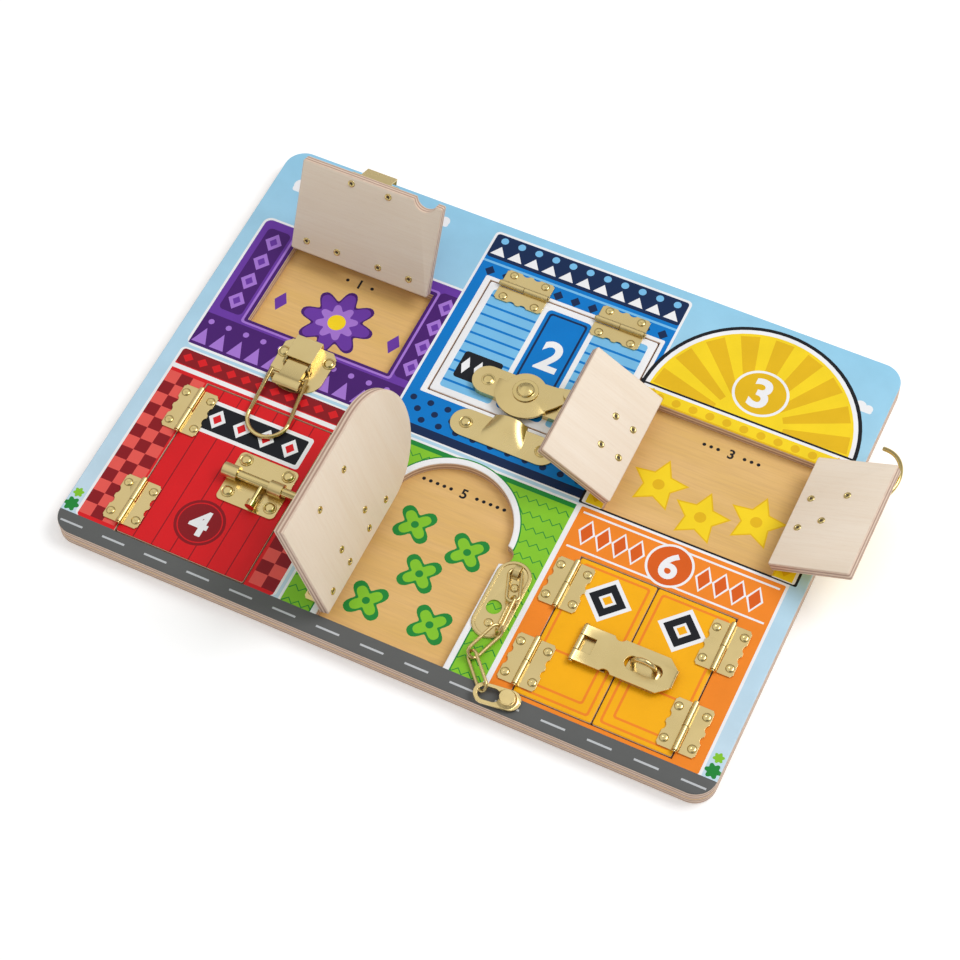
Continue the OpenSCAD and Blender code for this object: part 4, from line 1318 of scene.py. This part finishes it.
def rivets(node_name, tails, plate):
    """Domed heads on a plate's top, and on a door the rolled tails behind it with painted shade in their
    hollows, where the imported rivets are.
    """
    sizes = bpy.context.scene.busyboard_brass
    body = BODY_OF[node_name]
    place = hinged(body)
    every = rivet_spots(node_name, place.inverted())
    bold = [s for s in every if any(math.dist([c / MM for c in s], b) < BOLD_REACH for b in BOLD)]
    plain_heads = [s for s in every if s not in bold]
    head = (sizes.rivet_radius, sizes.rivet_height)
    boss = (sizes.boss_radius, sizes.boss_height if plate < PAN else sizes.low_boss_height)
    # Name, profile, which rivets have it, height of its seat, how it is flipped, radius and height, finish
    plan = [
        ("head", HEAD_PROFILE, plain_heads, TOP + plate, 0, head, turned_brass),
        ("boss", BOSS_PROFILE, bold, TOP + plate, 0, boss, turned_brass),
    ]
    if tails:
        tail = (every, TOP - DOOR, math.pi, (sizes.eyelet_radius, sizes.eyelet_height))
        # Each tail gets a dark disc in its hollow as painted shade.
        plan += [("eyelet", EYELET_PROFILE, *tail, turned_brass), ("bore", BORE_PROFILE, *tail, rivet_bore)]
    tree = rivet_tree()
    parts = []
    for kind, profile, spots, z, flip, (radius, height), finish in plan:
        if not spots:
            continue
        part = placed("rivet_part", turned("rivet_part", profile))
        points = rivet_points(spots, z, flip, place)
        values = {"Part": part, "Radius": radius, "Height": height, "Finish": finish()}
        parts.append(tree.grow(f"{node_name}_{kind}", points, values))
        bpy.data.objects.remove(part)
    bpy.data.node_groups.remove(tree.tree)
    finish_piece(joined(node_name + "_set", parts), body, "brass_rivet", node_name)


# How much of half a link's width its rounded ends take, and how finely ends and wire are rounded.
LINK_BEND = 0.495
LINK_END_STEPS = 10
WIRE_STEPS = 14


def link_tree():
    """A chain link: a rounded oblong of wire with named sizes."""
    inputs = (
        ("Start", "Geometry", None),
        ("Length", "Float", 0.022),
        ("Width", "Float", 0.007),
        ("Wire radius", "Float", 0.00095),
        ("Finish", "Material", None),
    )
    tree = Tree("busyboard_link", "Link", inputs)
    start = tree.start
    sides = {"Width": start["Length"], "Height": start["Width"]}
    oblong = tree.node("GeometryNodeCurvePrimitiveQuadrilateral", sides)
    rounding = {
        "Curve": oblong.outputs[0],
        "Count": LINK_END_STEPS,
        "Radius": tree.maths("MULTIPLY", start["Width"], LINK_BEND),
    }
    bent = tree.node("GeometryNodeFilletCurve", rounding, mode="POLY")
    wire = {"Resolution": WIRE_STEPS, "Radius": start["Wire radius"]}
    ring = tree.node("GeometryNodeCurvePrimitiveCircle", wire)
    swept = {"Curve": bent.outputs[0], "Profile Curve": ring.outputs[0]}
    tree.end(tree.node("GeometryNodeCurveToMesh", swept).outputs[0])
    return tree


# Joint places of the chain, each link's tilt in degrees and half width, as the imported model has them.
CHAIN = (
    (50.5, -66.0, 14.45),
    (57.0, -83.5, 17.1),
    (57.8, -103.0, 17.3),
    (50.8, -122.0, 16.2),
    (65.0, -137.5, 15.7),
)
LINK_TILTS = (4, 60, -40, 50)
LINK_HALF_WIDTHS = (3.6, 3.3, 3.5, 3.4)
LINK_REACH = 1.5
LINK_WELD = 1e-6


def chain_links():
    tree = link_tree()
    wire = bpy.context.scene.busyboard_brass.link_radius
    stretches = zip(CHAIN, CHAIN[1:], LINK_TILTS, LINK_HALF_WIDTHS)
    for number, (a, b, tilt, half) in enumerate(stretches, 1):
        a, b = Vector(a), Vector(b)
        flat = (b - a).xy.length
        start = bpy.data.meshes.new("link_start")
        start.from_pydata([(0, 0, 0)], [], [])
        values = {"Length": (flat + 2 * LINK_REACH) * MM, "Width": 2 * half * MM}
        values |= {"Wire radius": wire, "Finish": plate_brass()}
        link = tree.grow(f"chain_link_{number}_wire", start, values)
        place = Matrix.Translation((a + b) / 2 * MM)
        place = place @ Matrix.Rotation(math.atan2(b.y - a.y, b.x - a.x), 4, "Z")
        place = place @ Matrix.Rotation(-math.atan2(b.z - a.z, flat), 4, "Y")
        place = place @ Matrix.Rotation(math.radians(tilt), 4, "X")
        link.data.transform(place)
        bm = bmesh.new()
        bm.from_mesh(link.data)
        bmesh.ops.remove_doubles(bm, verts=bm.verts, dist=LINK_WELD)
        bmesh.ops.recalc_face_normals(bm, faces=bm.faces)
        bm.to_mesh(link.data)
        bm.free()
        finish_piece(link, f"link_{number}", "brass_plate", f"chain_link_{number}")
    bpy.data.node_groups.remove(tree.tree)


# ---- operators ----
class BUSYBOARD_OT_board(bpy.types.Operator):
    """Printed face board and backing board"""

    bl_idname = "busyboard.board"
    bl_label = "Board"

    def execute(self, context):
        holes = [opening(w) for w in (1, 2, 3, 4, 6)] + [arch_opening]
        design, floors = street_print(), well_print()
        face = (board_outline, holes, design, BACK_TOP, TOP)
        back = (board_outline, [], floors, 0.0, BACK_TOP)
        add_sheet("printed_board", "board", *face, "print_sky", "face_board")
        add_sheet("backing_sheet", "board", *back, "ply_back", "backing_board")
        return {"FINISHED"}


class BUSYBOARD_OT_doors(bpy.types.Operator):
    """Eight printed plywood doors, each where it stands"""

    bl_idname = "busyboard.doors"
    bl_label = "Doors"

    def execute(self, context):
        middle_3, middle_6 = (sum(WELLS[w][:2]) / 2 for w in (3, 6))
        doors = (
            ("flap_1", flap_one_outline, "print_purple"),
            ("flap_2", door_outline(2), "print_blue"),
            ("door_3l", door_outline(3, right=middle_3 - GAP / 2), "print_yellow"),
            ("door_3r", door_outline(3, left=middle_3 + GAP / 2), "print_yellow"),
            ("door_4", door_outline(4), "print_red"),
            ("door_5", arch_door, "print_green"),
            ("door_6l", door_outline(6, right=middle_6 - GAP / 2), "print_orange"),
            ("door_6r", door_outline(6, left=middle_6 + GAP / 2), "print_orange"),
        )
        design = street_print()
        for body, outline, slot_name in doors:
            panel = (outline, [], design, TOP - DOOR, TOP)
            add_sheet(body + "_sheet", body, *panel, slot_name, body + "_panel")
        return {"FINISHED"}


class BUSYBOARD_OT_hinges(bpy.types.Operator):
    """Brass hinge leaves and pins"""

    bl_idname = "busyboard.hinges"
    bl_label = "Hinges"

    def execute(self, context):
        for name in frame["nodes"]:
            if "_leaves" in name or (name.endswith("_leaf") and name != "hasp_leaf"):
                metal_part(name, plate_brass())
        metal_part("hinge_pins", turned_brass(), ROUND_END)
        return {"FINISHED"}


class BUSYBOARD_OT_rivets(bpy.types.Operator):
    """Rivet heads and rolled tails"""

    bl_idname = "busyboard.rivets"
    bl_label = "Rivets"

    def execute(self, context):
        for name in frame["nodes"]:
            if name.endswith("_rivets"):
                rivets(name, tails=name != "frame_rivets", plate=PAN if name == "sash_rivets" else LEAF)
        return {"FINISHED"}


class BUSYBOARD_OT_fasteners(bpy.types.Operator):
    """Draw latch, sash lock, hook and eye, slide bolt and hasp"""

    bl_idname = "busyboard.fasteners"
    bl_label = "Fasteners"

    def execute(self, context):
        metal_part("latch_base", plate_brass(), edge=0)
        for name in ("latch_lever", "latch_catch", "sash_plate", "sash_cam", "hook_eye", "hook_plate"):
            metal_part(name, plate_brass())
        keeper_hood()
        for name in ("bolt_plate", "bolt_keeper", "hasp_leaf", "hasp_strap", "hasp_staple"):
            metal_part(name, plate_brass())
        for name in ("chain_anchor", "chain_slider", "chain_track"):
            metal_part(name, plate_brass())
        for name in ("latch_pin", "latch_bail", "sash_pivot", "hook_wire", "bolt_rod", "hasp_pin"):
            metal_part(name, turned_brass(), ROUND_END)
        return {"FINISHED"}


class BUSYBOARD_OT_chain(bpy.types.Operator):
    """Links of the door chain"""

    bl_idname = "busyboard.chain"
    bl_label = "Chain"

    def execute(self, context):
        chain_links()
        return {"FINISHED"}


# ---- stage ----
# The camera's turn, rise and roll in degrees, its place in metres, the width of its film in millimetres
# and the nearest and furthest that it sees in metres.
CAMERA_TURN = 27.877
CAMERA_RISE = 58.661
CAMERA_ROLL = -2.725
CAMERA_PLACE = (0.335601, -0.641352, 1.165435)
CAMERA_FILM = 36
CAMERA_CLIP = (0.01, 50)
# The floor's half width and height in metres, and how much its tone varies.
FLOOR_HALF = 4.0
FLOOR_Z = -0.0001
FLOOR_DRIFT = 0.985
LAMP_PLACE = (0.95, 0.70, 1.60)
LAMP_SIZE = 1.1
# Brightness of the room by height, from underfoot to overhead.
ROOM_LEVELS = ((0.10, 0.88), (0.24, 0.36), (0.48, 0.42), (0.70, 0.95), (1.0, 1.0))
# What brass reflects of the room along one of the camera's axes: from and to which brightness, and where.
ROOM_SIDES = ((2, 1.0, 0.22, 0.866, 0.966), (0, 1.09, 0.91, -0.16, 0.16))


def camera_axes():
    """Right, up and back of a camera high over the near edge of the board and turned a little."""
    turn, rise, roll = map(math.radians, (CAMERA_TURN, CAMERA_RISE, CAMERA_ROLL))
    back = Vector((math.sin(turn) * math.cos(rise), -math.cos(turn) * math.cos(rise), math.sin(rise)))
    right = Vector((math.cos(turn), math.sin(turn), 0))
    up = back.cross(right)
    rolled_right = math.cos(roll) * right + math.sin(roll) * up
    return rolled_right, -math.sin(roll) * right + math.cos(roll) * up, back


def camera():
    data = bpy.data.cameras.new("camera")
    data.lens = bpy.context.scene.busyboard_stage.lens
    data.sensor_width = CAMERA_FILM
    data.clip_start, data.clip_end = CAMERA_CLIP
    made = placed("camera", data)
    made.matrix_world = Matrix.Translation(CAMERA_PLACE) @ Matrix(camera_axes()).transposed().to_4x4()
    bpy.context.scene.camera = made


def floor():
    settings = bpy.context.scene.busyboard_stage
    mesh = bpy.data.meshes.new("floor")
    corners = rounded_box(-FLOOR_HALF, FLOOR_HALF, -FLOOR_HALF, FLOOR_HALF)
    mesh.from_pydata([(x, y, FLOOR_Z) for x, y in corners], [], [(0, 1, 2, 3)])
    material, nodes, finish = new_material("pale_floor")
    cloud = nodes.noise(nodes.node("ShaderNodeTexCoord").outputs["Object"], 3.0, 2.0)
    tone = tuple(settings.floor)
    # Straight or in a reflection the floor looks nearer to white, but it gives the object no light for it.
    path = nodes.node("ShaderNodeLightPath").outputs
    seen = path["Is Camera Ray"]
    for kind in ("Is Glossy Ray", "Is Transmission Ray"):
        seen = nodes.maths("MAXIMUM", seen, path[kind])
    finish(
        Base_Color=nodes.mixed(cloud, tone, tuple(c * FLOOR_DRIFT for c in tone[:3]) + (1,)),
        Roughness=0.9,
        Specular_IOR_Level=0.1,
        Emission_Color=(1, 1, 1, 1),
        Emission_Strength=nodes.maths("MULTIPLY", seen, settings.lift),
    )
    mesh.materials.append(material)
    placed("floor", mesh)


def lamp(name, power, size, place):
    """A round lamp that faces the middle of the board."""
    data = bpy.data.lights.new(name, "AREA")
    data.shape = "DISK"
    data.size = size
    data.energy = power
    facing = Vector(place).to_track_quat("Z", "Y").to_matrix().to_4x4()
    placed(name, data).matrix_world = Matrix.Translation(place) @ facing


def room_light(strength):
    """A soft room, bright overhead and underfoot, with a dimmer band between that edges of brass show."""
    world = bpy.data.worlds.new("soft_room")
    bpy.context.scene.world = world
    world.use_nodes = True
    nodes = Nodes(world.node_tree)
    place = nodes.node("ShaderNodeTexCoord").outputs["Generated"]
    height = nodes.node("ShaderNodeSeparateXYZ", {0: place}).outputs["Z"]
    ramp = nodes.node("ShaderNodeValToRGB", {0: height})
    ramp.color_ramp.interpolation = "EASE"
    stops = ramp.color_ramp.elements
    while len(stops) < len(ROOM_LEVELS):
        stops.new(0.5)
    for stop, (position, level) in zip(stops, ROOM_LEVELS):
        stop.position = position
        stop.color = (level, level, level, 1)
    # The dark side of the room, where the camera stands, and its brighter left, as brass reflects them.
    dimmed = ramp.outputs[0]
    for axis, *levels in ROOM_SIDES:
        sides = {0: place, 1: camera_axes()[axis]}
        facing = nodes.node("ShaderNodeVectorMath", sides, operation="DOT_PRODUCT").outputs["Value"]
        dimmed = nodes.mixed(1.0, dimmed, nodes.ranged(facing, *levels), "MULTIPLY")
    ray = nodes.node("ShaderNodeLightPath").outputs
    shown = nodes.mixed(ray["Is Glossy Ray"], ramp.outputs[0], dimmed)
    room = nodes.node("ShaderNodeBackground", {"Color": shown, "Strength": strength})
    backdrop = nodes.node("ShaderNodeBackground", {"Color": (1, 1, 1, 1)})
    either = {0: ray["Is Camera Ray"], 1: room.outputs[0], 2: backdrop.outputs[0]}
    nodes.node("ShaderNodeOutputWorld", {0: nodes.node("ShaderNodeMixShader", either).outputs[0]})


class BUSYBOARD_OT_stage(bpy.types.Operator):
    """Floor, soft lamp, room light and camera"""

    bl_idname = "busyboard.stage"
    bl_label = "Stage"

    def execute(self, context):
        settings = context.scene.busyboard_stage
        context.scene.view_settings.view_transform = "Standard"
        floor()
        room_light(settings.world)
        lamp("main_lamp", settings.key, LAMP_SIZE, LAMP_PLACE)
        camera()
        return {"FINISHED"}


class BUSYBOARD_PT_panel(bpy.types.Panel):
    """Steps that build the busy board"""

    bl_idname = "BUSYBOARD_PT_panel"
    bl_label = "Busy board"
    bl_space_type = "VIEW_3D"
    bl_region_type = "UI"
    bl_category = "Busy board"

    def draw(self, context):
        for operator in OPERATORS:
            self.layout.operator(operator.bl_idname)
        for name in GROUPS:
            settings = getattr(context.scene, name)
            column = self.layout.column()
            for key in settings.__annotations__:
                column.prop(settings, key)


OPERATORS = (
    BUSYBOARD_OT_stage,
    BUSYBOARD_OT_board,
    BUSYBOARD_OT_doors,
    BUSYBOARD_OT_hinges,
    BUSYBOARD_OT_rivets,
    BUSYBOARD_OT_fasteners,
    BUSYBOARD_OT_chain,
)
GROUPS = {
    "busyboard_print": BUSYBOARD_PG_print,
    "busyboard_wood": BUSYBOARD_PG_wood,
    "busyboard_brass": BUSYBOARD_PG_brass,
    "busyboard_angles": BUSYBOARD_PG_angles,
    "busyboard_stage": BUSYBOARD_PG_stage,
}


def register():
    for group in GROUPS.values():
        bpy.utils.register_class(group)
    for name, group in GROUPS.items():
        setattr(bpy.types.Scene, name, bpy.props.PointerProperty(type=group))
    for operator in (*OPERATORS, BUSYBOARD_PT_panel):
        bpy.utils.register_class(operator)


def unregister():
    for operator in (BUSYBOARD_PT_panel, *reversed(OPERATORS)):
        bpy.utils.unregister_class(operator)
    for name, group in GROUPS.items():
        delattr(bpy.types.Scene, name)
        bpy.utils.unregister_class(group)


def main():
    register()
    for operator in OPERATORS:
        getattr(bpy.ops.busyboard, operator.bl_idname.split(".")[1])()


if __name__ == "__main__":
    main()
